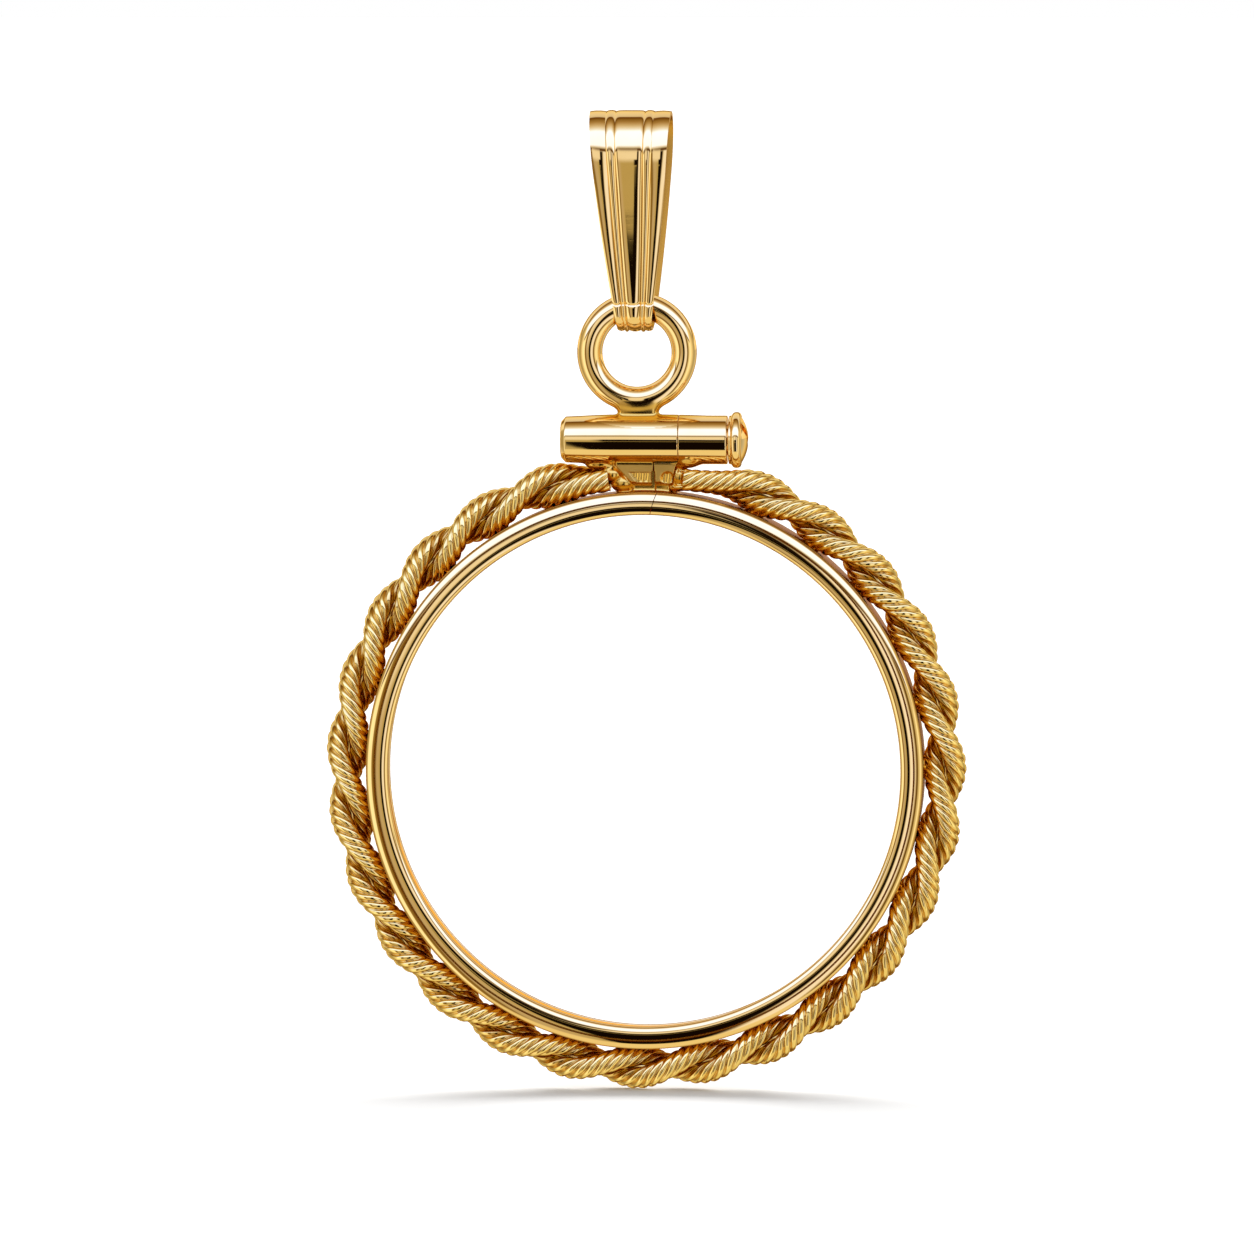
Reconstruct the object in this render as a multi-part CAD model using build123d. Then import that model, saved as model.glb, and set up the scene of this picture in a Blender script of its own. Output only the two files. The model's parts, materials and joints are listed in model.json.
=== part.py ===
from build123d import *
import math
import os

# A coin bezel pendant. Millimetres, +Z up, the front faces -Y and +X is to the right.
# The origin is the chain seat: the underside of the bail's crown, straight above the ring's centre.

# Coin and channel ring
COIN_D = 22.0
COIN_FIT = 0.05
SEAT_W = 1.90
WALL = 0.33
LIP_T = 0.35
LIP_REACH = 0.55
BEAD_W = 0.53
GROOVE_DEPTH = 0.14
GROOVE_W = 0.07
EDGE_R = 0.08
SPLIT_X = 0.35
SPLIT_W = 0.12

# Closure tube, in two halves that meet at a seam
TUBE_D = 2.00
TUBE_LEFT_X = -3.36
LONG_TUBE = 4.72
SHORT_TUBE = 1.97
SEAM_GAP = 0.03
TUBE_LIFT = 1.15

# Lugs between the ring and the tube
LUG_DEPTH = 1.50
LUG_LEFT_TOP = 1.40
LUG_LEFT_FOOT = 0.68
LUG_RIGHT_TOP = 1.10
LUG_RIGHT_FOOT = 0.72
LUG_GAP = 0.03
LUG_BITE = 0.40
FLAP_LENGTH = 0.75
FLAP_DROP = 0.10

# Closure screw
SHANK_D = 1.20
SHANK_FIT = 0.03
HEAD_D = 2.30
RIM_T = 0.33
DOME_H = 0.47
DOME_D = 2.10
HEAD_GAP = 0.06
TIP_INSET = 0.30
SLOT_W = 0.32
SLOT_DEPTH = 0.30
SLOT_ANGLE = 45.0

# Jump ring, soldered on the long tube
WIRE_D = 1.00
LOOP_BORE = 2.87
LOOP_X = -0.27
NECK_H = 0.155
NECK_WAIST = 1.75
NECK_FOOT = 2.70
NECK_CAP = 1.95
NECK_DEPTH = 0.80

# Bail, a folded strip that hangs on the chain
BAIL_X = -0.31
BAIL_DROP = 7.70
STRIP_T = 0.32
CROWN_R = 1.15
CROWN_H = 1.78
TOE_R = 0.77
CROWN_W = 3.25
WAIST_W = 2.64
WAIST_SHARE = 0.45
TOE_W = 1.30
RIB_IN = 0.36
RIB_OUT = 0.60
FLUTE_W = 0.09
FLUTE_DEPTH = 0.07

# Rope of two twisted wires. Angles run clockwise from the top, seen from the front.
STRAND_D = 0.84
STRAND_GAP = 0.04
ROPE_GAP = 0.05
ROPE_START_ANGLE = 7.6
ROPE_END_ANGLE = 352.9
TWIST_START_ANGLE = 16.3
TWIST_END_ANGLE = 347.8
TWIST_TURNS = 12.5
TWIST_EASE_ANGLE = 3.0
END_LIFT = 0.15
END_EASE_ANGLE = 13.0
STRAND_SIDES = 9
STEPS_PER_TURN = 16

# Sizes worked out for the ring
seat_r = COIN_D / 2 + COIN_FIT
ring_r = seat_r + WALL
seat_half = SEAT_W / 2
ring_half = seat_half + LIP_T

# Sizes worked out for the tube and the screw
tube_r = TUBE_D / 2
bore_r = SHANK_D / 2 + SHANK_FIT
seam_x = TUBE_LEFT_X + LONG_TUBE
short_x = seam_x + SEAM_GAP
tube_right_x = short_x + SHORT_TUBE

# Sizes worked out for the jump ring and its swing in the bail's toe
wire_r = WIRE_D / 2
loop_r = LOOP_BORE / 2 + wire_r
toe_reach = TOE_W / 2 + abs(BAIL_X - LOOP_X)
wire_rise = (loop_r - math.sqrt(loop_r**2 - toe_reach**2)) / 2

# Heights, from the chain seat down
swing_z = -BAIL_DROP
loop_z = swing_z + wire_rise - loop_r
tube_z = loop_z - loop_r - wire_r - NECK_H - tube_r
ring_z = tube_z - tube_r - TUBE_LIFT - ring_r

# Sizes worked out for the rope
strand_r = STRAND_D / 2
twist_r = (STRAND_D + STRAND_GAP) / 2
touch_r = ring_r + ROPE_GAP + strand_r
rope_r = touch_r + twist_r
twist_rate = 360 * TWIST_TURNS / (TWIST_END_ANGLE - TWIST_START_ANGLE)


def rod(radius, x_from, x_to, z):
    """A round rod along X."""
    turned = Rot(0, 90, 0) * Cylinder(radius, x_to - x_from)
    return Pos((x_from + x_to) / 2, 0, z) * turned


def plate(points, depth):
    """A flat polygon of front-view points, as thick as depth, centred front to back."""
    face = Plane.XZ * make_face(Polyline(*points, close=True))
    return extrude(face, amount=depth / 2, both=True)


# Channel ring: one section, turned about the ring's axis and split at the top
def ring_section():
    lip_in = seat_r - LIP_REACH
    bead_r = BEAD_W / 2
    bead_mid = lip_in + bead_r
    bead_base = ring_half - bead_r
    bead_out = bead_mid + math.sqrt(bead_r**2 - (bead_r - GROOVE_DEPTH) ** 2)
    groove_y = ring_half - GROOVE_DEPTH
    band_in = bead_out + GROOVE_W
    band_out = ring_r - EDGE_R
    corner = EDGE_R * (1 - math.sqrt(0.5))
    half = [
        Line((seat_r, 0), (seat_r, seat_half)),
        Line((seat_r, seat_half), (lip_in, seat_half)),
        Line((lip_in, seat_half), (lip_in, bead_base)),
        ThreePointArc((lip_in, bead_base), (bead_mid, ring_half), (bead_out, groove_y)),
        Line((bead_out, groove_y), (band_in, ring_half)),
        Line((band_in, ring_half), (band_out, ring_half)),
        ThreePointArc(
            (band_out, ring_half),
            (ring_r - corner, ring_half - corner),
            (ring_r, ring_half - EDGE_R),
        ),
        Line((ring_r, ring_half - EDGE_R), (ring_r, 0)),
    ]
    other = [edge.mirror(Plane.XZ) for edge in half]
    return make_face(half + other)


def coin_ring():
    ring = Pos(0, 0, ring_z) * revolve(ring_section(), Axis.Y)
    split = Box(SPLIT_W, 4 * ring_half, 2 * ring_r)
    return ring - Pos(SPLIT_X, 0, ring_z + ring_r) * split


# Closure tube, lugs and neck
def saddle():
    """What a lug must leave free: the ring and a hairline round it."""
    turned = Rot(90, 0, 0) * Cylinder(ring_r + LUG_GAP, 2 * LUG_DEPTH)
    return Pos(0, 0, ring_z) * turned


def left_lug():
    right = SPLIT_X - SPLIT_W / 2
    top = tube_z - tube_r + LUG_BITE
    foot = ring_z + ring_r - LUG_BITE
    outline = [(right - LUG_LEFT_TOP, top), (right, top), (right, foot), (right - LUG_LEFT_FOOT, foot)]
    return plate(outline, LUG_DEPTH) - saddle()


def right_lug():
    left = SPLIT_X + SPLIT_W / 2
    top = tube_z - tube_r + LUG_BITE
    foot = ring_z + ring_r - LUG_BITE
    outline = [(left, top), (left + LUG_RIGHT_TOP, top), (left + LUG_RIGHT_FOOT, foot), (left, foot)]
    block = plate(outline, LUG_DEPTH) - saddle()
    flap_z = tube_z - tube_r - FLAP_DROP
    flap_outline = [
        (left, top),
        (short_x + FLAP_LENGTH, top),
        (short_x + FLAP_LENGTH, flap_z),
        (left, flap_z),
    ]
    flap = plate(flap_outline, LUG_DEPTH)
    relief = rod(tube_r + LUG_GAP, TUBE_LEFT_X, short_x, tube_z)
    return block + flap - relief


def neck():
    """The solder neck: waisted, from inside the tube's wall up into the jump ring's wire."""
    foot_z = tube_z + tube_r
    levels = [
        (foot_z - wire_r, NECK_FOOT / 2),
        (foot_z, NECK_FOOT / 2),
        (foot_z + NECK_H / 2, NECK_WAIST / 2),
        (foot_z + NECK_H, NECK_CAP / 2),
        (foot_z + NECK_H + wire_r, NECK_WAIST / 2),
    ]
    right = [(LOOP_X + half, z) for z, half in levels]
    left = [(LOOP_X - half, z) for z, half in reversed(levels)]
    return plate(right + left, NECK_DEPTH)


def loop_and_long_tube():
    loop = Pos(LOOP_X, 0, loop_z) * (Rot(90, 0, 0) * Torus(loop_r, wire_r))
    tube = rod(tube_r, TUBE_LEFT_X, seam_x, tube_z)
    bore = rod(bore_r, TUBE_LEFT_X - tube_r, tube_right_x, tube_z)
    return loop + neck() + tube + left_lug() - bore


def short_tube():
    tube = rod(tube_r, short_x, tube_right_x, tube_z)
    bore = rod(bore_r, TUBE_LEFT_X, tube_right_x + tube_r, tube_z)
    return tube + right_lug() - bore


# Closure screw: plain shank, and a head turned with a rim, a dome and a driver slot
def closure_screw():
    head_x = tube_right_x + HEAD_GAP
    rim_x = head_x + RIM_T
    top_x = rim_x + DOME_H
    head_r = HEAD_D / 2
    dome_r = DOME_D / 2
    ball_r = (dome_r**2 + DOME_H**2) / (2 * DOME_H)
    half_turn = math.asin(dome_r / ball_r) / 2
    dome_mid = (top_x - ball_r + ball_r * math.cos(half_turn), ball_r * math.sin(half_turn))
    section = make_face(
        [
            Polyline((top_x, 0), (head_x, 0), (head_x, head_r), (rim_x, head_r), (rim_x, dome_r)),
            ThreePointArc((rim_x, dome_r), dome_mid, (top_x, 0)),
        ]
    )
    head = Pos(0, 0, tube_z) * revolve(section, Axis.X)
    shank = rod(SHANK_D / 2, TUBE_LEFT_X + TIP_INSET, head_x + RIM_T / 2, tube_z)
    slot = Pos(top_x, 0, tube_z) * (Rot(SLOT_ANGLE, 0, 0) * Box(2 * SLOT_DEPTH, SLOT_W, 2 * HEAD_D))
    return shank + head - slot


# Bail: a strip folded round the crown and the toe, tapered in front view, with fluted ribs
def round_ended(crown_r, crown_h, toe_r):
    """A side-view outline: an elliptical crown, a round toe and the two lines that touch both."""
    drop = BAIL_DROP - CROWN_H
    squared = drop**2 - crown_h**2 + crown_r**2
    root = math.sqrt((toe_r * drop) ** 2 + squared * (crown_r**2 - toe_r**2))
    sine = (toe_r * drop - root) / squared
    cosine = math.sqrt(1 - sine**2)
    reach = math.hypot(crown_r * cosine, crown_h * sine)
    low = math.degrees(math.atan2(crown_h * sine, crown_r * cosine))
    crown = EllipticalCenterArc((0, -CROWN_H), crown_r, crown_h, start_angle=low, arc_size=180 - 2 * low)
    crown_right = (crown_r**2 * cosine / reach, -CROWN_H + crown_h**2 * sine / reach)
    crown_left = (-crown_right[0], crown_right[1])
    toe_right = (toe_r * cosine, swing_z + toe_r * sine)
    toe_left = (-toe_right[0], toe_right[1])
    toe = ThreePointArc(toe_right, (0, swing_z - toe_r), toe_left)
    return make_face([crown, Line(crown_right, toe_right), toe, Line(toe_left, crown_left)])


def strip_band(outer_offset, inner_offset):
    """The folded strip between two depths, measured outwards from its inner face, at full width."""
    outer = round_ended(CROWN_R + outer_offset, CROWN_H + outer_offset, TOE_R + outer_offset)
    inner = round_ended(CROWN_R + inner_offset, CROWN_H + inner_offset, TOE_R + inner_offset)
    band = extrude(Plane.YZ * outer, amount=CROWN_W, both=True)
    return band - extrude(Plane.YZ * inner, amount=CROWN_W, both=True)


def tapered(share_from, share_to, spare=0.0):
    """A front-view prism between two shares of the bail's half width, widened by a spare each side."""
    top = STRIP_T
    bottom = swing_z - TOE_R - STRIP_T
    waist = top - WAIST_SHARE * (top - bottom)
    half_widths = [CROWN_W / 2, WAIST_W / 2, TOE_W / 2]
    heights = [top, waist, bottom]
    low = [(share_from * half - spare, z) for half, z in zip(half_widths, heights)]
    high = [(share_to * half + spare, z) for half, z in zip(half_widths, heights)]
    outline = [
        ThreePointArc(*low),
        Line(low[2], high[2]),
        ThreePointArc(high[2], high[1], high[0]),
        Line(high[0], low[0]),
    ]
    return extrude(Plane.XZ * make_face(outline), amount=2 * CROWN_W, both=True)


def bail():
    strip = strip_band(STRIP_T, 0) & tapered(-1, 1)
    skin = strip_band(STRIP_T + FLUTE_DEPTH, STRIP_T - FLUTE_DEPTH)
    for share in (-RIB_OUT, -RIB_IN, RIB_IN, RIB_OUT):
        strip -= skin & tapered(share, share, FLUTE_W / 2)
    return Pos(BAIL_X, 0, 0) * strip


# Rope: each wire winds round the rope's centre line and lies still near the lugs
def soft_step(angle):
    """Zero well before an angle of 0, the angle itself well after it."""
    return (angle + math.sqrt(angle**2 + TWIST_EASE_ANGLE**2)) / 2


def end_lift(angle):
    """Share of the full rope radius that is left near an end, from 0 to 1."""
    share = min(1.0, min(angle - ROPE_START_ANGLE, ROPE_END_ANGLE - angle) / END_EASE_ANGLE)
    return share * share * (3 - 2 * share)


def strand_point(angle, phase_shift):
    """A point of a wire's centre line, with the phase running inner, front, outer, back."""
    turned = twist_rate * (soft_step(angle - TWIST_START_ANGLE) - soft_step(angle - TWIST_END_ANGLE))
    phase = math.radians(90 + turned + phase_shift)
    end_r = touch_r + END_LIFT
    centre_r = end_r + (rope_r - end_r) * end_lift(angle)
    r = centre_r - twist_r * math.cos(phase)
    around = math.radians(angle)
    return Vector(r * math.sin(around), -twist_r * math.sin(phase), ring_z + r * math.cos(around))


def strand_ring(angle, phase_shift, nudge=0.1):
    """The corners of a wire's section, square to its centre line."""
    centre = strand_point(angle, phase_shift)
    ahead = strand_point(angle + nudge, phase_shift) - strand_point(angle - nudge, phase_shift)
    along = ahead.normalized()
    depth = Vector(0, 1, 0)
    side = (depth - along * depth.dot(along)).normalized()
    up = along.cross(side)
    corners = []
    for index in range(STRAND_SIDES):
        turn = 2 * math.pi * index / STRAND_SIDES
        corners.append(centre + side * (strand_r * math.cos(turn)) + up * (strand_r * math.sin(turn)))
    return corners


def facet(*corners):
    return Face(Wire.make_polygon(corners))


def rope_strand(phase_shift):
    steps = round(TWIST_TURNS * STEPS_PER_TURN)
    span = (ROPE_END_ANGLE - ROPE_START_ANGLE) / steps
    rings = [strand_ring(ROPE_START_ANGLE + span * step, phase_shift) for step in range(steps + 1)]
    faces = [facet(*rings[0]), facet(*rings[-1])]
    for near, far in zip(rings, rings[1:]):
        for index in range(STRAND_SIDES):
            after = (index + 1) % STRAND_SIDES
            faces.append(facet(near[index], near[after], far[after]))
            faces.append(facet(near[index], far[after], far[index]))
    return Solid(Shell(faces))


pieces = {
    "bail": bail(),
    "loop_and_long_tube": loop_and_long_tube(),
    "short_tube": short_tube(),
    "closure_screw": closure_screw(),
    "coin_ring": coin_ring(),
    "rope_strand_a": rope_strand(0),
    "rope_strand_b": rope_strand(180),
}

os.makedirs("parts", exist_ok=True)
for name, piece in pieces.items():
    export_step(piece, f"parts/{name}.step")
    print(name, round(piece.volume, 2), "mm3")
print("swing axis height", round(swing_z, 3), "ring centre height", round(ring_z, 3))
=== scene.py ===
import itertools
import json
import math

import bpy
import numpy as np
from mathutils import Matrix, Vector


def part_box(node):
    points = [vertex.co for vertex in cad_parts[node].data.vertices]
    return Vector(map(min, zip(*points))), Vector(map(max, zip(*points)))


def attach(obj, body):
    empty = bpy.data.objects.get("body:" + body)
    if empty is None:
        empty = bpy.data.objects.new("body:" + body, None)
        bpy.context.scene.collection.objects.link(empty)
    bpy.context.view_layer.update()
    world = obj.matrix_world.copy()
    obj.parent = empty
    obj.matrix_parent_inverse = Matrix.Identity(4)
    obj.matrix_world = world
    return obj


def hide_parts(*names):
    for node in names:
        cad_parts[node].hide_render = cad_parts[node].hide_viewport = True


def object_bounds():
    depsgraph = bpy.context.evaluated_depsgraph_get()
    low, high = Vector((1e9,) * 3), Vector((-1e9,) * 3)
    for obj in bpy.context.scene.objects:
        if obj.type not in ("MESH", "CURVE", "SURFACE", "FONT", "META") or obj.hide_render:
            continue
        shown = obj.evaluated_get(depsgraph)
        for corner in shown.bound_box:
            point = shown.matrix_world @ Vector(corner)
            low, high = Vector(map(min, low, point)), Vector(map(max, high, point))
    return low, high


# A coin bezel pendant in polished yellow gold. Shapes are worked out in millimetres and made in metres.
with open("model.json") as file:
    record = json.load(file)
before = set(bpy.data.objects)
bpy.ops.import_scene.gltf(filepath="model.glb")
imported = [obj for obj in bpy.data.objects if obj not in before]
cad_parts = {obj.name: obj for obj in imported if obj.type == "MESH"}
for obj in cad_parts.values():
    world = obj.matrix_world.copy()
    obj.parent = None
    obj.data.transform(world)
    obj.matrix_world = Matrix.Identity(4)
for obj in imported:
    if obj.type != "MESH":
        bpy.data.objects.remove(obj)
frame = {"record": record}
cad_low, cad_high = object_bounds()
MM = 0.001
TO_RADIANS = math.pi / 180


def box_mm(node):
    """The lowest and highest corner of a solid, in millimetres."""
    low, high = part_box(node)
    return Vector(low) / MM, Vector(high) / MM


ring_high = box_mm("coin_ring")[1]
loop_low, loop_high = box_mm("loop_and_long_tube")
short_high = box_mm("short_tube")[1]
screw_low, screw_high = box_mm("closure_screw")
bail_low, bail_high = box_mm("bail")
mounts = {mount["name"]: mount for mount in frame["record"]["mounts"]}

# Ring, from its solid
ring_z = mounts["coin_seat"]["pos_m"][2] / MM
ring_r = ring_high.x
ring_half = ring_high.y
LIP_T = 0.35
LIP_REACH = 0.55
BACK_LIP_SHORT = 0.12
WALL = 0.33
RING_SPREAD = 0.05
BEAD_IN_W = 0.32
BEAD_IN_DROP = 0.20
BEAD_OUT_W = 0.205
BEAD_OUT_R = 0.82
GROOVE_W = 0.075
GROOVE_DEPTH = 0.13
BAND_W = 0.25
BAND_DROP = 0.10
BAND_CROWN = 0.010
CHAMFER_DROP = 0.10
SPLIT_X = 0.22
SPLIT_W = 0.03
SPLIT_SLANT = 0.25
SPLIT_LEAN = 0.30
RING_STEPS = 640
BEAD_STEPS = 20
BEAD_OUT_STEPS = 8
BAND_STEPS = 7
GROOVE_SLANT_IN, GROOVE_SLANT_OUT = 0.35, 0.2
SEAT_ROUND = 0.04
LIP_ROUND = 0.05
CHAMFER_ROUND = 0.02
WALL_FADE = 0.02
SHARP_EDGE = 40

# Tube, lugs and jump ring, from their solids
tube_z = (screw_low.z + screw_high.z) / 2
tube_r = short_high.z - tube_z
tube_left_x = loop_low.x
tube_right_x = short_high.x
SEAM_X = 1.36
SEAM_GAP = 0.03
BORE_R = 0.63
LOOP_WIRE_R = 0.50
LOOP_X = -0.27
LOOP_LOOK_WIRE_R = 0.52
LOOP_LOOK_X = -0.36
NECK_X = -0.30
loop_r = loop_high.x - LOOP_X - LOOP_WIRE_R
loop_z = loop_high.z - loop_r - LOOP_WIRE_R

# Rope of two twisted wires: the same path as in the solids. Angles run clockwise from the top.
STRAND_R = 0.42
WIRE_R = 0.46
TWIST_R = 0.44
TOUCH_GAP = 0.05
ROPE_START_ANGLE = 7.6
ROPE_END_ANGLE = 352.9
TWIST_START_ANGLE = 16.3
TWIST_END_ANGLE = 347.8
TWIST_TURNS = 12.5
TWIST_EASE_ANGLE = 3.0
END_LIFT = 0.15
END_EASE_ANGLE = 13.0
touch_r = ring_r + TOUCH_GAP + STRAND_R
rope_r = touch_r + TWIST_R
twist_rate = 360 * TWIST_TURNS / (TWIST_END_ANGLE - TWIST_START_ANGLE)

# Fluting of each wire
LOBES = 6
LOBE_DEPTH = 0.15
LOBE_POINTS = 10
LAY_LENGTH = 2.64
WIRE_STEPS = 1250
PRESS_IN = 0.02
# A thin dark core between the wires, standing for painted shade
CORE_R = 0.20
CORE_POINTS = 12
CORE_STEPS = 400
WANDER_SCALE = 0.7
WANDER_TURN = 12
SEED_STEP = 10
CREST_POWER = 0.5
# How the painted shade gathers into the flute hollows
HOLLOW_SHADE_POWER = 0.8
# Painted shade where the two wires press together: none at the first distance from the rope's middle, full at
# the second, in wire radii
NEST_SHADE_FROM, NEST_SHADE_TO = 1.25, 0.55

# Bail
bail_x = (bail_low.x + bail_high.x) / 2
STRIP_T = bail_high.z
TOE_R = 0.77
CROWN_R = bail_high.y - STRIP_T
CROWN_H = 1.78
toe_z = bail_low.z + STRIP_T + TOE_R
CROWN_W = bail_high.x - bail_low.x
WAIST_W = 2.64
WAIST_SHARE = 0.45
TOE_W = 1.30
RIB_IN = 0.36
RIB_OUT = 0.60


# Node trees: arithmetic on a Term adds Math nodes. A Mix node takes its share and two colours at MIX_SLOTS.
MIX_SLOTS = (0, 6, 7)
MIX_RESULT = 2
# A group's socket type, by the kind of its starting value
SOCKETS = {
    int: "NodeSocketInt",
    float: "NodeSocketFloat",
    tuple: "NodeSocketColor",
    type(None): "NodeSocketMaterial",
}


class Term:
    """A number in a node tree, from a socket or a node's first output."""

    def __init__(self, tree, source):
        self.tree = tree
        self.socket = source.outputs[0] if isinstance(source, bpy.types.Node) else source

    def maths(self, operation, *others):
        made = self.tree.nodes.new("ShaderNodeMath")
        made.operation = operation
        for slot, value in zip(made.inputs, (self, *others)):
            feed(self.tree, slot, value)
        return Term(self.tree, made)

    def __add__(self, other):
        return self.maths("ADD", other)

    def __sub__(self, other):
        return self.maths("SUBTRACT", other)

    def __mul__(self, other):
        return self.maths("MULTIPLY", other)

    def __truediv__(self, other):
        return self.maths("DIVIDE", other)

    def __rsub__(self, other):
        return self * -1 + other

    __radd__ = __add__
    __rmul__ = __mul__

    def sin(self):
        return self.maths("SINE")

    def cos(self):
        return self.maths("COSINE")

    def root(self):
        return self.maths("SQRT")

    def size(self):
        return self.maths("ABSOLUTE")


def feed(tree, slot, value):
    """Gives an input a number, a colour, a Term, a socket, or a node, which stands for its first output."""
    if isinstance(value, bpy.types.Node):
        value = value.outputs[0]
    if isinstance(value, Term):
        value = value.socket
    if isinstance(value, bpy.types.NodeSocket):
        tree.links.new(value, slot)
    else:
        slot.default_value = value


def node(tree, kind, inputs=None, **settings):
    """A new node with its settings and inputs; inputs maps a socket's name or number to its value."""
    made = tree.nodes.new(kind)
    for name, value in settings.items():
        setattr(made, name, value)
    for name, value in (inputs or {}).items():
        feed(tree, made.inputs[name], value)
    return made


def add_inputs(tree, values):
    """Named inputs of a group, each from its starting value; None stands for a material."""
    for name, value in values.items():
        made = tree.interface.new_socket(name=name, in_out="INPUT", socket_type=SOCKETS[type(value)])
        if value is not None:
            made.default_value = value
    start = tree.nodes.new("NodeGroupInput")
    return {name: Term(tree, start.outputs[name]) for name in values}


def eased(tree, value, low, high, top=1.0, soft=False):
    """Rises from 0 at low to top at high."""
    ends = {"Value": value, "From Min": low, "From Max": high, "To Min": 0.0, "To Max": top}
    made = node(tree, "ShaderNodeMapRange", ends, interpolation_type="SMOOTHSTEP" if soft else "LINEAR")
    return Term(tree, made)


def mix_colours(tree, share, first, second):
    """The first colour with a share of the second."""
    made = node(tree, "ShaderNodeMix", data_type="RGBA")
    for slot, value in zip(MIX_SLOTS, (share, first, second)):
        feed(tree, made.inputs[slot], value)
    return made.outputs[MIX_RESULT]


def store(tree, geometry, name, value):
    """The geometry with a named number at each of its points."""
    inputs = {"Geometry": geometry, "Name": name, "Value": value}
    return node(tree, "GeometryNodeStoreNamedAttribute", inputs, data_type="FLOAT", domain="POINT")


def end_tree(tree, geometry, finish, title):
    """Ends a geometry tree: smooth shading, realized instances and the finish."""
    smooth = node(tree, "GeometryNodeSetShadeSmooth", {"Geometry": geometry})
    plain = node(tree, "GeometryNodeRealizeInstances", {"Geometry": smooth})
    dressed = node(tree, "GeometryNodeSetMaterial", {"Geometry": plain, "Material": finish})
    end = tree.nodes.new("NodeGroupOutput")
    feed(tree, end.inputs[title], dressed)
    return tree


# Meshes
def add_object(name, mesh):
    made = bpy.data.objects.new(name, mesh)
    bpy.context.scene.collection.objects.link(made)
    return made


def outward(points, faces):
    """The faces, turned round if they point into the shape."""
    a, b, c, d = (points[faces[:, index]] for index in range(4))
    volume = np.einsum("ij,ij->", np.cross(a, b), c) + np.einsum("ij,ij->", np.cross(a, c), d)
    return faces if volume > 0 else faces[:, ::-1]


def mesh_object(name, points, faces, caps=(), sharp=None, normals=None, shares=None):
    """An object from points in millimetres and four-sided faces, with smooth shading."""
    mesh = bpy.data.meshes.new(name)
    mesh.from_pydata((points * MM).tolist(), [], faces.tolist() + [list(cap) for cap in caps])
    mesh.validate()
    mesh.shade_smooth()
    if sharp is not None:
        mesh.set_sharp_from_angle(angle=math.radians(sharp))
    if normals is not None:
        mesh.normals_split_custom_set_from_vertices(normals.tolist())
    for title, values in (shares or {}).items():
        mesh.attributes.new(title, "FLOAT", "POINT").data.foreach_set("value", values.astype(np.float32))
    return add_object(name, mesh)


def grid_faces(rows, columns, closed_rows=False, closed_columns=False):
    """Four-sided faces of a grid of points; a closed way joins its end to its start."""
    i = np.arange(rows if closed_rows else rows - 1)
    j = np.arange(columns if closed_columns else columns - 1)
    i, j = (index.ravel() for index in np.meshgrid(i, j, indexing="ij"))
    here, after = i * columns, (i + 1) % rows * columns
    after_j = (j + 1) % columns
    return np.stack([here + j, here + after_j, after + after_j, after + j], 1)


# Solder-joined pieces are fields: below zero inside the metal, above zero outside
CELL_CORNERS = list(itertools.product((0, 1), repeat=3))
SLOPE_NUDGE = 0.003
SETTLE_ROUNDS = 4
LEAST_SLOPE = 0.1


def blend_in(a, b, fillet):
    """Two fields joined with a fillet."""
    share = np.clip(0.5 + 0.5 * (b - a) / fillet, 0, 1)
    return b + (a - b) * share - fillet * share * (1 - share)


def keep_in(a, b, edge):
    """Where both fields are inside, with a rounded edge."""
    return -blend_in(-a, -b, edge)


def cut_out(a, b, edge):
    """The first field without the second, with a rounded edge."""
    return -blend_in(-a, b, edge)


def from_axis(y, z):
    """How far a spot is from the tube's axis."""
    return np.hypot(y, z - tube_z)


def disc_field(x, y, z, radius, x_from, x_to, round_r):
    """A disc on the tube's axis with a round edge."""
    across = from_axis(y, z) - radius + round_r
    along = np.abs(x - (x_from + x_to) / 2) - (x_to - x_from) / 2 + round_r
    outside = np.hypot(np.maximum(across, 0), np.maximum(along, 0))
    return np.minimum(np.maximum(across, along), 0) + outside - round_r


def plate_field(x, y, z, corners, half_depth, edge):
    """A flat plate with round edges, from its front-view corners taken clockwise."""
    value = np.abs(y) - half_depth
    for (x0, z0), (x1, z1) in zip(corners, corners[1:] + corners[:1]):
        length = math.hypot(x1 - x0, z1 - z0)
        value = keep_in(value, ((x - x0) * (z0 - z1) + (z - z0) * (x1 - x0)) / length, edge)
    return value


def at_corner(grid, offset):
    """The grid's values at one corner of every cell."""
    return grid[tuple(slice(start, start + count - 1) for start, count in zip(offset, grid.shape))]


def mean_crossing(value, active):
    """Where the surface crosses each active cell's edges, on average, in steps from the cell's low corner."""
    total = np.zeros((active.sum(), 3))
    hits = np.zeros((active.sum(), 1))
    for axis, offset in itertools.product(range(3), CELL_CORNERS):
        if offset[axis]:
            continue
        far = tuple(1 if way == axis else shift for way, shift in enumerate(offset))
        start, end = at_corner(value, offset)[active], at_corner(value, far)[active]
        crosses = (start < 0) != (end < 0)
        share = np.where(crosses, start / np.where(crosses, start - end, 1), 0)
        spot = np.tile(np.array(offset, float), (len(start), 1))
        spot[:, axis] += share
        total += spot * crosses[:, None]
        hits += crosses[:, None]
    return total / hits


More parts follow.
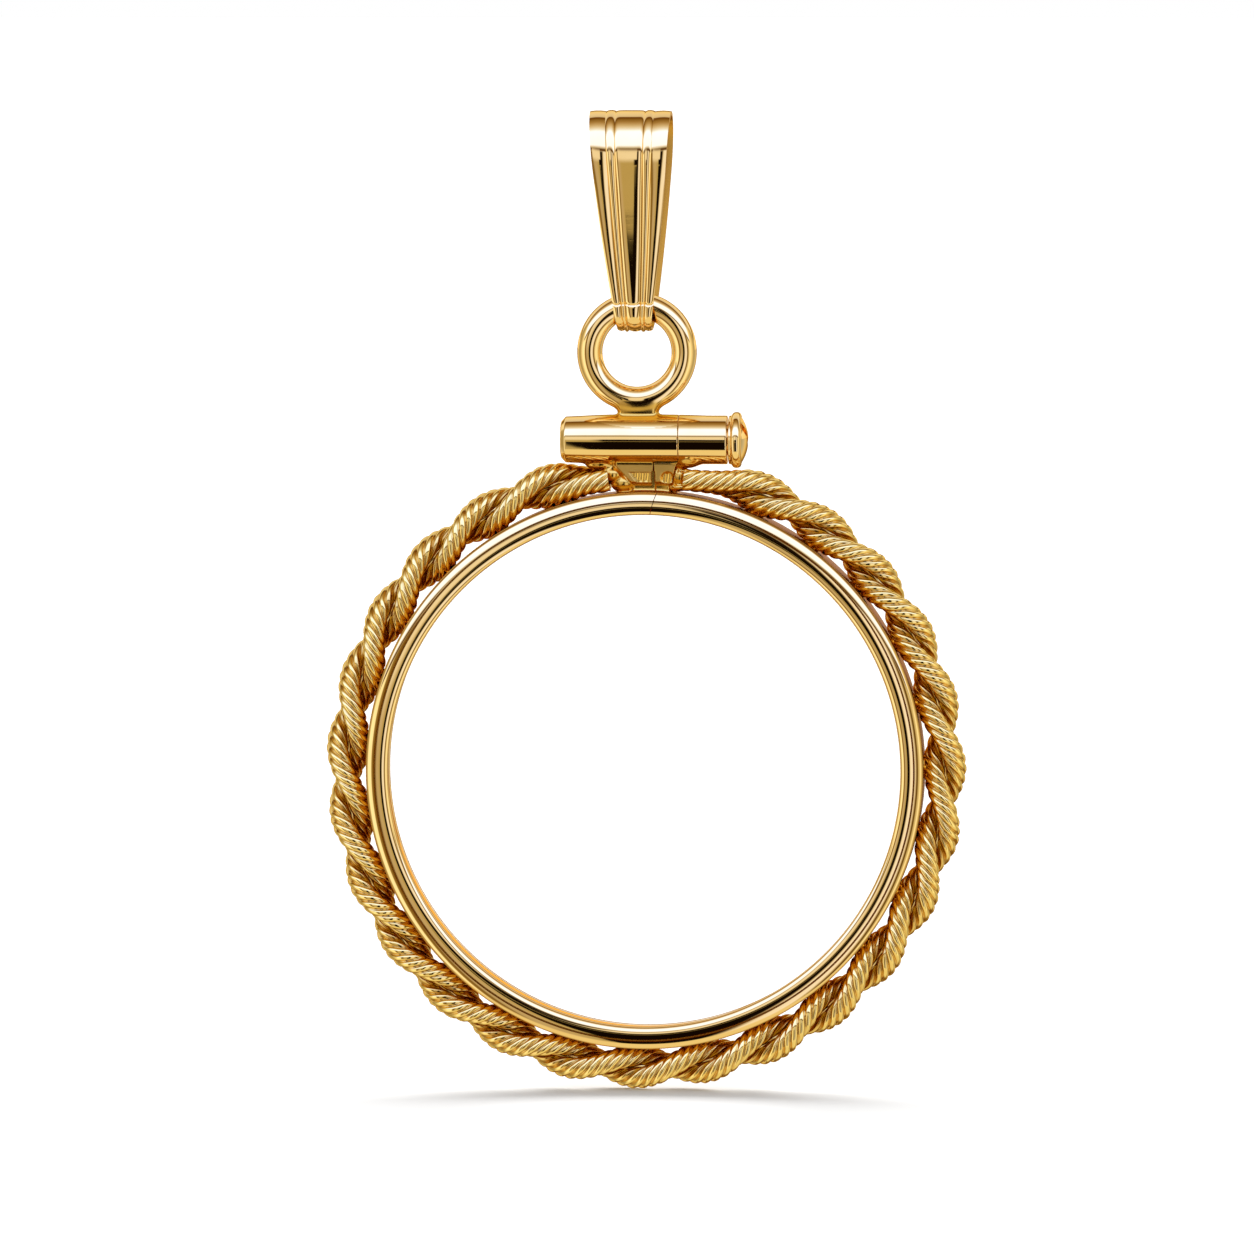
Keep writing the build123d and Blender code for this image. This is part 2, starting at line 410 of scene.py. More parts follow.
def skin_faces(inside, index):
    """A face for each grid edge that the surface crosses, between the points of the four cells round it."""
    faces = []
    for axis in range(3):
        first, second = (axis + 1) % 3, (axis + 2) % 3
        count = index.shape[axis]
        near = np.take(inside, range(count), axis)
        far = np.take(inside, range(1, count + 1), axis)
        spots = np.argwhere(near != far)
        fits = [(spots[:, way] > 0) & (spots[:, way] < index.shape[way]) for way in (first, second)]
        spots = spots[fits[0] & fits[1]]
        quad = []
        for back_first, back_second in ((0, 0), (1, 0), (1, 1), (0, 1)):
            cell = spots.copy()
            cell[:, first] -= back_first
            cell[:, second] -= back_second
            quad.append(index[tuple(cell.T)])
        quad = np.stack(quad, 1)
        leaving = near[tuple(spots.T)]
        faces.append(np.where(leaving[:, None], quad, quad[:, ::-1]))
    return np.concatenate(faces)


def skin(field, low, high, step):
    """Points and faces of the surface where a field is zero, one point in each grid cell that it crosses."""
    low = np.array(low)
    axes = [np.arange(start, end + step, step) for start, end in zip(low, high)]
    value = field(*np.meshgrid(*axes, indexing="ij"))
    inside = value < 0
    filled = sum(at_corner(inside, offset).astype(int) for offset in CELL_CORNERS)
    active = (filled > 0) & (filled < len(CELL_CORNERS))
    index = np.full(active.shape, -1)
    index[active] = np.arange(active.sum())
    points = low + (np.argwhere(active) + mean_crossing(value, active)) * step
    return points, skin_faces(inside, index)


def slope(field, points):
    """The field's slope at each point."""
    ways = [field(*(points + shift).T) - field(*(points - shift).T) for shift in np.eye(3) * SLOPE_NUDGE]
    return np.stack(ways, 1) / (2 * SLOPE_NUDGE)


def field_object(name, field, low, high, step, shares=None):
    """A piece whose skin is a field's zero surface, with the field's own slope as its shading."""
    points, faces = skin(field, low, high, step)
    for _ in range(SETTLE_ROUNDS):
        rise = slope(field, points)
        points = points - rise * (field(*points.T) / np.maximum((rise**2).sum(1), LEAST_SLOPE))[:, None]
    rise = slope(field, points)
    normals = rise / np.linalg.norm(rise, axis=1, keepdims=True)
    worked_out = {title: share(*points.T) for title, share in (shares or {}).items()}
    return mesh_object(name, points, outward(points, faces), normals=normals, shares=worked_out)


# Materials. Scales of the hand polish are per metre, its depths in metres.
SCRATCH_SCALES = (9000, 8000)
SCRATCH_STRETCHES = ((1, 1, 0.03), (0.03, 1, 1))
SCRATCH_TURNS = ((0.5, 0.3, 0.2), (0.1, 0.7, 0.9))
SCRATCH_FROM, SCRATCH_TO = 0.56, 0.72
SCRATCH_DEPTH = 4e-7
SCRATCH_ROUGHNESS = 0.08
WAVE_SCALE = 900
WAVE_DEPTH = 6e-6
TONE_SCALE = 700
TONE_FROM, TONE_TO = 0.35, 0.75
TONE_SHARE = 0.3
TONE_ROUGHNESS = 0.5


def polish_group():
    """Hand-polished gold: fine scratches, faint waves, a wandering tone, and a recess colour, which is the
    own colour of solder and filed faces, and painted shade in grooves and crevices.
    """
    tree = bpy.data.node_groups.new("hand_polish", "ShaderNodeTree")
    put_in = add_inputs(
        tree,
        {
            "Gold": (1, 0.7, 0.3, 1),
            "Deep Gold": (0.9, 0.5, 0.15, 1),
            "Recess Gold": (0.6, 0.3, 0.05, 1),
            "Recess": 0.0,
            "Recess Roughness": 0.1,
            "Roughness": 0.08,
            "Scratches": 0.5,
            "Waves": 0.5,
        },
    )
    outputs = {"Color": "NodeSocketColor", "Roughness": "NodeSocketFloat", "Height": "NodeSocketFloat"}
    for name, kind in outputs.items():
        tree.interface.new_socket(name=name, in_out="OUTPUT", socket_type=kind)
    place = node(tree, "ShaderNodeTexCoord").outputs["Object"]

    def noise(scale, detail, stretch=(1, 1, 1), turn=(0, 0, 0)):
        turned = node(tree, "ShaderNodeMapping", {"Vector": place, "Scale": stretch, "Rotation": turn})
        cloud = {"Vector": turned, "Scale": scale, "Detail": detail}
        return Term(tree, node(tree, "ShaderNodeTexNoise", cloud).outputs["Fac"])

    ways = zip(SCRATCH_SCALES, SCRATCH_STRETCHES, SCRATCH_TURNS)
    one_way, other_way = (noise(scale, 2, stretch, turn) for scale, stretch, turn in ways)
    scratches = eased(tree, (one_way + other_way) / 2, SCRATCH_FROM, SCRATCH_TO) * put_in["Scratches"]
    waves = noise(WAVE_SCALE, 1) - 0.5
    tone = noise(TONE_SCALE, 3)
    # Share of the recess colour: solder's own colour, and painted shade in grooves and crevices
    recess = put_in["Recess"].maths("MINIMUM", 1.0)
    height = waves * put_in["Waves"] * WAVE_DEPTH - scratches * SCRATCH_DEPTH
    roughness = put_in["Roughness"] * (tone * TONE_ROUGHNESS + (1 - TONE_ROUGHNESS / 2))
    roughness = roughness + scratches * SCRATCH_ROUGHNESS + recess * put_in["Recess Roughness"]
    share = eased(tree, tone, TONE_FROM, TONE_TO, TONE_SHARE)
    colour = mix_colours(tree, share, put_in["Gold"], put_in["Deep Gold"])
    end = tree.nodes.new("NodeGroupOutput")
    feed(tree, end.inputs["Color"], mix_colours(tree, recess, colour, put_in["Recess Gold"]))
    feed(tree, end.inputs["Roughness"], roughness)
    feed(tree, end.inputs["Height"], height)
    return tree


def gold_material(name, values, marks=None, edge_tint=(0.84, 0.65, 0.34, 1)):
    """Gold with the shared polish; marks maps an attribute to its share in the recess colour."""
    made = bpy.data.materials.new(name)
    made.use_nodes = True
    tree = made.node_tree
    surface = tree.nodes["Principled BSDF"]
    surface.inputs["Metallic"].default_value = 1.0
    surface.inputs["Specular Tint"].default_value = edge_tint
    look = node(tree, "ShaderNodeGroup", node_tree=polish)
    for title, value in values.items():
        feed(tree, look.inputs[title], value)
    recess = None
    for attribute, share in (marks or {}).items():
        mark = node(tree, "ShaderNodeAttribute", attribute_name=attribute, attribute_type="GEOMETRY")
        part = Term(tree, mark.outputs["Fac"]) * share
        recess = part if recess is None else recess + part
    if recess:
        feed(tree, look.inputs["Recess"], recess)
    filed = node(tree, "ShaderNodeAttribute", attribute_name="filed", attribute_type="GEOMETRY")
    filed = Term(tree, filed.outputs["Fac"])
    feed(tree, look.inputs["Roughness"], filed * FILED_ROUGHNESS + values["Roughness"])
    feed(tree, surface.inputs["Base Color"], look.outputs["Color"])
    feed(tree, surface.inputs["Roughness"], look.outputs["Roughness"])
    bump = node(tree, "ShaderNodeBump", {"Height": look.outputs["Height"], "Distance": 1.0})
    feed(tree, surface.inputs["Normal"], bump.outputs["Normal"])
    return made


polish = polish_group()
FILED_ROUGHNESS = 0.30
MIRROR = {
    "Gold": (1.0, 0.70, 0.28, 1),
    "Deep Gold": (0.95, 0.58, 0.18, 1),
    "Recess Gold": (0.80, 0.47, 0.09, 1),
    "Recess Roughness": 0.12,
    "Roughness": 0.035,
    "Scratches": 0.35,
    "Waves": 0.35,
}
# Rope gold: its dark brown recess colour is painted shade in the flute hollows and where the wires meet
TWISTED = {
    "Gold": (1.0, 0.73, 0.24, 1),
    "Deep Gold": (0.95, 0.61, 0.14, 1),
    "Recess Gold": (0.45, 0.17, 0.005, 1),
    "Recess Roughness": 0.15,
    "Roughness": 0.04,
    "Scratches": 0.3,
    "Waves": 0.3,
}
SOLDER = {**MIRROR, "Gold": (0.80, 0.45, 0.05, 1), "Roughness": 0.12, "Waves": 1.5}
# Tube, lug and screw gold: its recess colour is the own colour of solder and filed faces, and painted shade
# in the screw's thread valleys
soldered_gold = gold_material("soldered_gold", MIRROR, {"solder": 1.0, "filed": 0.9})
# The hollow and nest marks paint shade into the flutes and between the wires
twisted_gold = gold_material("twisted_gold", TWISTED, {"hollow": 0.55, "nest": 1.0})
solder_gold = gold_material("solder_gold", SOLDER)
# Ring gold: its recess colour is solder with painted shade on the outer wall and painted shade in the front
# groove; its darker grazing tint browns the ring where it is seen edge-on, also partly painted shade
RING = {**MIRROR, "Roughness": 0.03, "Recess Gold": (0.60, 0.29, 0.03, 1), "Recess Roughness": 0.22}
ring_gold = gold_material("ring_gold", RING, {"solder": 1.0}, edge_tint=(0.45, 0.22, 0.04, 1))
# On the bail the recess colour is painted shade on the strip's inner faces
BAIL = {**MIRROR, "Roughness": 0.03, "Recess Gold": (0.66, 0.34, 0.05, 1), "Recess Roughness": 0.22}
bail_gold = gold_material("bail_gold", BAIL, {"solder": 1.0})


def dress(piece, material, body, slot, *nodes):
    """Gives a piece its finish, its body and the solids that it stands for; its slot is not used."""
    if material:
        piece.data.materials.clear()
        piece.data.materials.append(material)
    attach(piece, body)
    if nodes:
        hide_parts(*nodes)
    return piece


# Coin ring: a section turned about the ring's axis, open at the split
def rounded(corners, steps=5):
    """Points of an outline whose corners, each (across, depth, radius), are rounded."""
    points = []
    for index, (x, y, radius) in enumerate(corners):
        here = np.array([x, y])
        if not radius:
            points.append(here)
            continue
        back = np.array(corners[index - 1][:2]) - here
        ahead = np.array(corners[(index + 1) % len(corners)][:2]) - here
        back, ahead = back / np.linalg.norm(back), ahead / np.linalg.norm(ahead)
        reach = radius / math.tan(math.acos(np.clip(back @ ahead, -1, 1)) / 2)
        start, end = here + back * reach, here + ahead * reach
        for share in np.linspace(0, 1, steps):
            points.append((1 - share) ** 2 * start + 2 * share * (1 - share) * here + share**2 * end)
    return points


def ring_half_section(lip_short=0.0):
    """One side of the ring's section, each point as (across, depth, rounding), from the seat outwards."""
    seat_r = ring_r - WALL
    seat_half = ring_half - LIP_T
    lip_in = seat_r - LIP_REACH + lip_short
    crest = lip_in + BEAD_IN_W - lip_short / 2
    bead = []
    for turn in np.linspace(math.pi, math.pi / 2, BEAD_STEPS):
        depth = ring_half - BEAD_IN_DROP * (1 - math.sin(turn))
        bead.append((crest + (crest - lip_in) * math.cos(turn), depth, 0))
    bead_out = seat_r - LIP_REACH + BEAD_IN_W + BEAD_OUT_W
    for place in np.linspace(crest, bead_out, BEAD_OUT_STEPS)[1:]:
        bead.append((place, ring_half - (place - crest) ** 2 / (2 * BEAD_OUT_R), 0))
    band_in = bead_out + GROOVE_W
    floor = (bead_out + GROOVE_W * GROOVE_SLANT_IN, band_in - GROOVE_W * GROOVE_SLANT_OUT)
    groove = [(across, ring_half - GROOVE_DEPTH, 0) for across in floor]
    band = []
    for share in np.linspace(0, 1, BAND_STEPS):
        crown = BAND_CROWN * 4 * share * (1 - share)
        band.append((band_in + BAND_W * share, ring_half - BAND_DROP * share + crown, 0))
    corner = (ring_r + RING_SPREAD, ring_half - BAND_DROP - CHAMFER_DROP, CHAMFER_ROUND)
    return [(seat_r, seat_half, SEAT_ROUND), (lip_in, seat_half, LIP_ROUND), *bead, *groove, *band, corner]


def coin_ring():
    half = ring_half_section()
    other = [(x, -y, radius) for x, y, radius in reversed(ring_half_section(BACK_LIP_SHORT))]
    section = np.array(rounded(half + other))
    across, depth = section[:, 0], section[:, 1]
    slant = SPLIT_SLANT * (ring_half - depth) + SPLIT_LEAN * (across - across.min())
    start = np.arcsin((SPLIT_X + SPLIT_W / 2 + slant) / across)
    end = 2 * math.pi + np.arcsin((SPLIT_X - SPLIT_W / 2 + slant) / across)
    share = np.linspace(0, 1, RING_STEPS)[:, None]
    angle = start + (end - start) * share
    points = np.stack([across * np.sin(angle), -depth + 0 * angle, ring_z + across * np.cos(angle)], -1)
    points = points.reshape(-1, 3)
    count = len(section)
    faces = outward(points, grid_faces(RING_STEPS, count, closed_columns=True))
    first, last = list(range(count)), list(range(len(points) - count, len(points)))
    turned = faces[0][1] == 1
    caps = [first[::-1], last] if turned else [first, last[::-1]]
    # Darker recess colour: on the outer wall it is solder with painted shade, in the front groove painted
    # shade
    wall = np.clip((across - ring_r - RING_SPREAD) / WALL_FADE + 1, 0, 1)
    groove_r = ring_r - WALL - LIP_REACH + BEAD_IN_W + BEAD_OUT_W + GROOVE_W / 2
    groove = (np.abs(across - groove_r) < GROOVE_W / 2) * (np.abs(depth) < ring_half - GROOVE_DEPTH / 2)
    shares = {"solder": np.tile(np.maximum(wall, groove), RING_STEPS)}
    return mesh_object("coin_ring_channel", points, faces, caps=caps, sharp=SHARP_EDGE, shares=shares)


dress(coin_ring(), ring_gold, "bezel", "polished_gold", "coin_ring")


# Jump ring, neck, long half of the tube and left lug: one soldered piece
NECK_X_HALF = 0.80
NECK_DEPTH_HALF = 0.34
NECK_FILLET = 0.30
TUBE_FILLET = 0.18
NECK_SIDE_ROUND = 0.25
NECK_END_ROUND = 0.05
FILM_T = 0.045
FILM_REACH = 2.60
FILM_ANGLE = 58.0
FILM_X = -0.05
END_CHAMFER = 0.20
END_EDGE = 0.03
SHORT_END_EDGE = 0.06
SEAM_LOOK_GAP = 0.008
SEAM_EDGE = 0.014
SEAM_TOP_SHARE = 1.05
SEAM_JOIN_EDGE = 0.02
TUBE_LONGER = 0.12
TUBE_END_X = tube_left_x - TUBE_LONGER
TAPER_FROM = -1.0
TAPER_RATE = 0.0108
BORE_EDGE = 0.05
BORE_WALL = 0.1
HALF_SQUARE = math.sqrt(0.5)

# Lugs: places across from the ring's middle, heights from the ring's top
LUG_HALF_DEPTH = 0.48
LUG_EDGE = 0.05
LUG_FILLET = 0.16
LUG_SPLIT_X = 0.46
LUG_SPLIT_W = 0.05
LUG_SPLIT_SLANT = 0.25
LUG_TOP_SHARE = 0.7
LUG_FOOT_RISE = 0.33
LUG_FOOT_OVERLAP = 0.2
LEFT_FOOT_TOP, LEFT_FOOT_LOW = 0.10, -0.05
RIGHT_FOOT_TOP, RIGHT_FOOT_LOW = -0.15, -0.10
LUG_TOP_LEFT = -1.20
LUG_LOW_LEFT = -0.50
LUG_SIDE_DROP = 0.35
LUG_TOP_RIGHT = 1.33
LUG_LOW_RIGHT = 1.08
LUG_CORNER_RISE = 0.1
LUG_TILT = -0.07
LUG_FOOT_SHARE = 0.45
LUG_FOOT_FILLET = 0.06
LUG_BEVEL = 0.12
LUG_BEVEL_EDGE = 0.02
LUG_FROM, LUG_TO = -1.6, 2.1
WALL_SINK = 0.012
WALL_SHARE = 0.8
SOLDER_FILLET = 0.10
BULGE_FILLET = 0.15
POCKET_DEPTH = 0.055
POCKET_SLOPE = 0.36
POCKET_EDGE = 0.01
POCKET_X = (-0.34, 0.36)
POCKET_FAN = 0.75
POCKET_RISE = 0.50
ROUND_POCKET_X = 0.92
ROUND_POCKET_RISE = 0.26
ROUND_POCKET_R = 0.31
ROUND_POCKET_DEPTH = 0.0825
ROUND_POCKET_SLOPE = 0.72
RIPPLE_DEPTH = 0.020
RIPPLE_PITCH = 0.21
RIPPLE_WAVER = 0.015
RIPPLE_WAVER_PITCH = 0.6
GAP_HALF = 0.08
GAP_DEPTH = 0.30
GAP_TOP = 0.27
GAP_EDGE = 0.02
MARK_FADE = 0.03
FACE_FADE = 0.012
lug_low_z = ring_z + ring_r + LUG_FOOT_RISE
lug_top_z = tube_z - tube_r * LUG_TOP_SHARE
lug_foot_z = ring_z + ring_r - WALL / 2

# Drops of solder beside the lugs: x, y and height from the tube's axis; half sizes across, deep and tall;
# and the fillet to the drops before
LEFT_DROPS = [
    (-1.85, 0.00, -1.02, 0.62, 0.34, 0.22, 0.00),
    (-1.36, 0.05, -1.42, 0.46, 0.44, 0.36, 0.15),
    (-0.92, 0.05, -1.80, 0.52, 0.36, 0.38, 0.10),
]
RIGHT_DROPS = [
    (1.70, 0.00, -0.84, 0.60, 0.60, 0.32, 0.00),
    (1.38, 0.20, -1.52, 0.36, 0.36, 0.42, 0.20),
    (1.40, 0.15, -1.95, 0.50, 0.30, 0.16, 0.10),
]

# Size of the grid that each piece's skin is found on, and the room left round the piece
LONG_STEP = 0.040
SHORT_STEP = 0.036
SCREW_STEP = 0.030
ROOM = 0.1
DEPTH_ROOM = 1.15
LUG_ROOM = 0.5
SPLIT_ROOM = 0.4
TOP_ROOM = 0.15


def off_tube(y, z):
    """How far a spot lies outside the tube's plain wall."""
    return from_axis(y, z) - tube_r


def in_bore(y, z):
    return from_axis(y, z) - BORE_R


def film_top(x, y, z):
    """How far the solder film stands proud of the tube's top."""
    along = np.clip(1 - ((x - FILM_X) / FILM_REACH) ** 2, 0, 1)
    angle = np.degrees(np.abs(np.arctan2(y, z - tube_z)))
    around = np.clip(1 - (angle / (FILM_ANGLE * np.sqrt(along) + 1)) ** 2, 0, 1)
    return FILM_T * along * around


def left_tube(x, y, z):
    taper = TAPER_RATE * np.maximum(TAPER_FROM - x, 0) ** 2
    across = off_tube(y, z) + taper - film_top(x, y, z)
    along = TUBE_END_X - x
    value = keep_in(across, (across + along + END_CHAMFER) * HALF_SQUARE, END_EDGE)
    value = keep_in(value, along, END_EDGE * 2)
    return keep_in(value, x - SEAM_X - (SEAM_GAP - SEAM_LOOK_GAP) / 2, SEAM_EDGE)


def jump_ring(x, y, z):
    return np.hypot(np.hypot(x - LOOP_LOOK_X, z - loop_z) - loop_r, y) - LOOP_LOOK_WIRE_R


def neck_block(x, y, z):
    top = loop_z - loop_r - LOOP_WIRE_R / 2
    across = keep_in(np.abs(x - NECK_X) - NECK_X_HALF, np.abs(y) - NECK_DEPTH_HALF, NECK_SIDE_ROUND)
    middle = (top + tube_z + tube_r / 2) / 2
    return keep_in(across, np.abs(z - middle) - (top - middle), NECK_END_ROUND)


def lug_half_depth(z):
    """Half a lug's depth: its face leans back towards the ring."""
    return LUG_HALF_DEPTH + LUG_TILT * (tube_z - tube_r - z)


def ripples(x, z):
    """Upright ripples on a pocket's floor, left by the solder."""
    wavered = x + RIPPLE_WAVER * np.sin(z * math.tau / RIPPLE_WAVER_PITCH)
    return RIPPLE_DEPTH * np.sin(wavered * math.tau / RIPPLE_PITCH)


def pocket(x, y, z, rim, slope, depth):
    """A hollow in a lug's face, whose floor falls away from its rim to a rippled depth."""
    sunk = y + lug_half_depth(z)
    return np.maximum(sunk - rim * slope, sunk - depth - ripples(x, z))


def lug_gap(x, y, z):
    """The open slit between the lugs at the front, below the tube."""
    middle = LUG_SPLIT_X - LUG_SPLIT_SLANT * LUG_HALF_DEPTH
    across = np.abs(x - middle) - GAP_HALF
    return np.maximum(np.maximum(across, y + LUG_HALF_DEPTH - GAP_DEPTH), z - tube_z + tube_r + GAP_TOP)


def lug(x, y, z, corners, foot, hollow):
    """A plate with a bevel along its lower edge and a pocket, on a foot set back from its face."""
    half_depth = lug_half_depth(z)
    plate = plate_field(x, y, z, corners, half_depth, LUG_EDGE)
    bevel = (np.abs(y) - half_depth + LUG_BEVEL - (z - lug_low_z)) * HALF_SQUARE
    plate = keep_in(plate, bevel, LUG_BEVEL_EDGE)
    pin = plate_field(x, y, z, foot, half_depth * LUG_FOOT_SHARE, LUG_EDGE)
    plate = blend_in(plate, pin, LUG_FOOT_FILLET)
    return cut_out(cut_out(plate, hollow, POCKET_EDGE), lug_gap(x, y, z), GAP_EDGE)


def left_lug(x, y, z):
    right = LUG_SPLIT_X + LUG_SPLIT_SLANT
    side = [(LUG_LOW_LEFT, lug_low_z), (LUG_TOP_LEFT, lug_top_z - LUG_SIDE_DROP)]
    corners = [(LUG_TOP_LEFT, lug_top_z), (right, lug_top_z), (right, lug_low_z), *side]
    foot_top = lug_low_z + LUG_FOOT_OVERLAP
    foot = [(LUG_LOW_LEFT + LEFT_FOOT_TOP, foot_top), (right, foot_top), (right, lug_foot_z)]
    foot.append((LUG_LOW_LEFT + LEFT_FOOT_LOW, lug_foot_z))
    rise = z - lug_low_z
    rim = np.minimum(np.minimum(x - POCKET_X[0] + rise * POCKET_FAN, POCKET_X[1] - x), rise)
    hollow = pocket(x, y, z, rim, POCKET_SLOPE, POCKET_DEPTH)
    return lug(x, y, z, corners, foot, np.maximum(hollow, rise - POCKET_RISE))


def right_lug(x, y, z):
    left = LUG_SPLIT_X - LUG_SPLIT_SLANT
    side = [(left, lug_low_z), (left, lug_low_z + LUG_CORNER_RISE)]
    corners = [(left, lug_top_z), (LUG_TOP_RIGHT, lug_top_z), (LUG_LOW_RIGHT, lug_low_z), *side]
    foot_top = lug_low_z + LUG_FOOT_OVERLAP
    foot = [(left, foot_top), (LUG_LOW_RIGHT + RIGHT_FOOT_TOP, foot_top)]
    foot.extend([(LUG_LOW_RIGHT + RIGHT_FOOT_LOW, lug_foot_z), (left, lug_foot_z)])
    rim = ROUND_POCKET_R - np.hypot(x - ROUND_POCKET_X, z - lug_low_z - ROUND_POCKET_RISE)
    return lug(x, y, z, corners, foot, pocket(x, y, z, rim, ROUND_POCKET_SLOPE, ROUND_POCKET_DEPTH))


def spread_lug(plate, x, y, z):
    """A lug with its solder on its own stretch of the ring's outer wall, without the ring itself."""
    wall = np.hypot(x, z - ring_z) - ring_r - RING_SPREAD + WALL_SINK
    under = ring_r - WALL / 2 - np.hypot(x, z - ring_z)
    joined = blend_in(plate(x, y, z), wall, LUG_FILLET)
    return np.maximum(joined, np.maximum(under, np.abs(y) - ring_half * WALL_SHARE))


def solder_drops(x, y, z, drops):
    """Drops of solder that have run into each other."""
    joined = None
    for x0, y0, z0, wide, deep, tall, fillet in drops:
        away = np.sqrt(((x - x0) / wide) ** 2 + ((y - y0) / deep) ** 2 + ((z - tube_z - z0) / tall) ** 2)
        drop = (away - 1) * min(wide, deep, tall)
        joined = drop if joined is None else blend_in(joined, drop, fillet)
    return joined


def long_piece(x, y, z):
    upper = blend_in(jump_ring(x, y, z), neck_block(x, y, z), NECK_FILLET)
    upper = blend_in(upper, left_tube(x, y, z), TUBE_FILLET)
    above_tube = z > tube_z + tube_r * SEAM_TOP_SHARE
    upper = keep_in(upper, np.where(above_tube, -1, x - SEAM_X), SEAM_JOIN_EDGE)
    split = LUG_SPLIT_X - LUG_SPLIT_W / 2 + LUG_SPLIT_SLANT * y
    lower = np.maximum(spread_lug(left_lug, x, y, z), x - split)
    lower = np.maximum(lower, LUG_FROM - x)
    whole = blend_in(upper, lower, SOLDER_FILLET)
    whole = blend_in(whole, solder_drops(x, y, z, LEFT_DROPS), SOLDER_FILLET)
    return cut_out(whole, in_bore(y, z), BORE_EDGE)


def short_piece(x, y, z):
    tube = keep_in(off_tube(y, z) - film_top(x, y, z), x - tube_right_x, SHORT_END_EDGE)
    tube = keep_in(tube, SEAM_X + (SEAM_GAP + SEAM_LOOK_GAP) / 2 - x, SEAM_EDGE)
    split = LUG_SPLIT_X + LUG_SPLIT_W / 2 + LUG_SPLIT_SLANT * y
    lower = np.maximum(spread_lug(right_lug, x, y, z), split - x)
    lower = np.maximum(lower, x - LUG_TO)
    lower = blend_in(lower, solder_drops(x, y, z, RIGHT_DROPS), BULGE_FILLET)
    clear_of_long = np.where(x < SEAM_X + SEAM_GAP, SEAM_GAP - off_tube(y, z), -1)
    lower = np.maximum(lower, clear_of_long)
    return cut_out(blend_in(tube, lower, SOLDER_FILLET), in_bore(y, z), BORE_EDGE)


def plate_gap(plate, x, y, z):
    """How far a spot is from a lug's plate; the foot below it counts as solder, and its darker colour there
    is also painted shade.
    """
    on_plate = (z < tube_z - tube_r) & (z > lug_low_z)
    return np.where(on_plate, np.abs(plate(x, y, z)), 1.0)


def on_face(y, z):
    """Is 1 on a lug's flat face and 0 in its pocket and on its bevel."""
    return np.clip(2 - np.abs(y + lug_half_depth(z)) / FACE_FADE, 0, 1)


def filed(plate):
    """Marks a lug's face, left as filed."""
    return lambda x, y, z: np.clip(1 - plate_gap(plate, x, y, z) / MARK_FADE, 0, 1) * on_face(y, z)


def solder_share(plate, bare, x, y, z):
    """Where the surface is solder: off the bare metal and the plate, and in the plate's pocket and bevel."""
    gap = plate_gap(plate, x, y, z)
    pooled = (gap < MARK_FADE) * (1 - on_face(y, z))
    return np.maximum(np.clip(np.minimum(bare, gap) / MARK_FADE, 0, 1), pooled)


def long_solder(x, y, z):
    bare = np.minimum(jump_ring(x, y, z), off_tube(y, z))
    return solder_share(left_lug, bare, x, y, z) * (in_bore(y, z) > BORE_WALL)


def short_solder(x, y, z):
    return solder_share(right_lug, off_tube(y, z), x, y, z)


loop_and_tube = field_object(
    "jump_ring_and_long_tube",
    long_piece,
    (TUBE_END_X - ROOM, -DEPTH_ROOM, ring_z + ring_r - LUG_ROOM),
    (loop_high.x + ROOM, DEPTH_ROOM, loop_high.z + ROOM),
    LONG_STEP,
    {"solder": long_solder, "filed": filed(left_lug)},
)
dress(loop_and_tube, soldered_gold, "bezel", "polished_gold", "loop_and_long_tube")

# Short half of the tube and the right lug
short_half = field_object(
    "short_tube_and_lug",
    short_piece,
    (LUG_SPLIT_X - SPLIT_ROOM, -DEPTH_ROOM, ring_z + ring_r - LUG_ROOM),
    (tube_right_x + ROOM, DEPTH_ROOM, tube_z + tube_r + TOP_ROOM),
    SHORT_STEP,
    {"solder": short_solder, "filed": filed(right_lug)},
)
dress(short_half, soldered_gold, "bezel", "polished_gold", "short_tube")


# Closure screw: threaded shank, collar, round rim and slotted dome
SHANK_R = 0.60
THREAD_PITCH = 0.25
THREAD_DEPTH = 0.09
THREAD_END = 2.6
HEAD_X = 3.42
COLLAR_R = 1.00
RIM_X = 3.53
RIM_T = 0.40
DOME_R = 0.97
SLOT_W = 0.32
SLOT_DEPTH = 0.30
SLOT_ANGLE = 45.0
SLOT_EDGE = 0.04
THREAD_FADE = 0.2
# Share of painted shade in the thread's valleys
THREAD_SHADE_SHARE = 0.7
SHANK_ROUND = 0.10
COLLAR_ROUND = 0.04
RIM_ROUND = 0.17
DOME_SINK = 0.02
DOME_EDGE = 0.05
HEAD_OVERLAP = 0.1
RIM_FILLET = 0.06
HEAD_FILLET = 0.03
SCREW_ROOM = 1.25


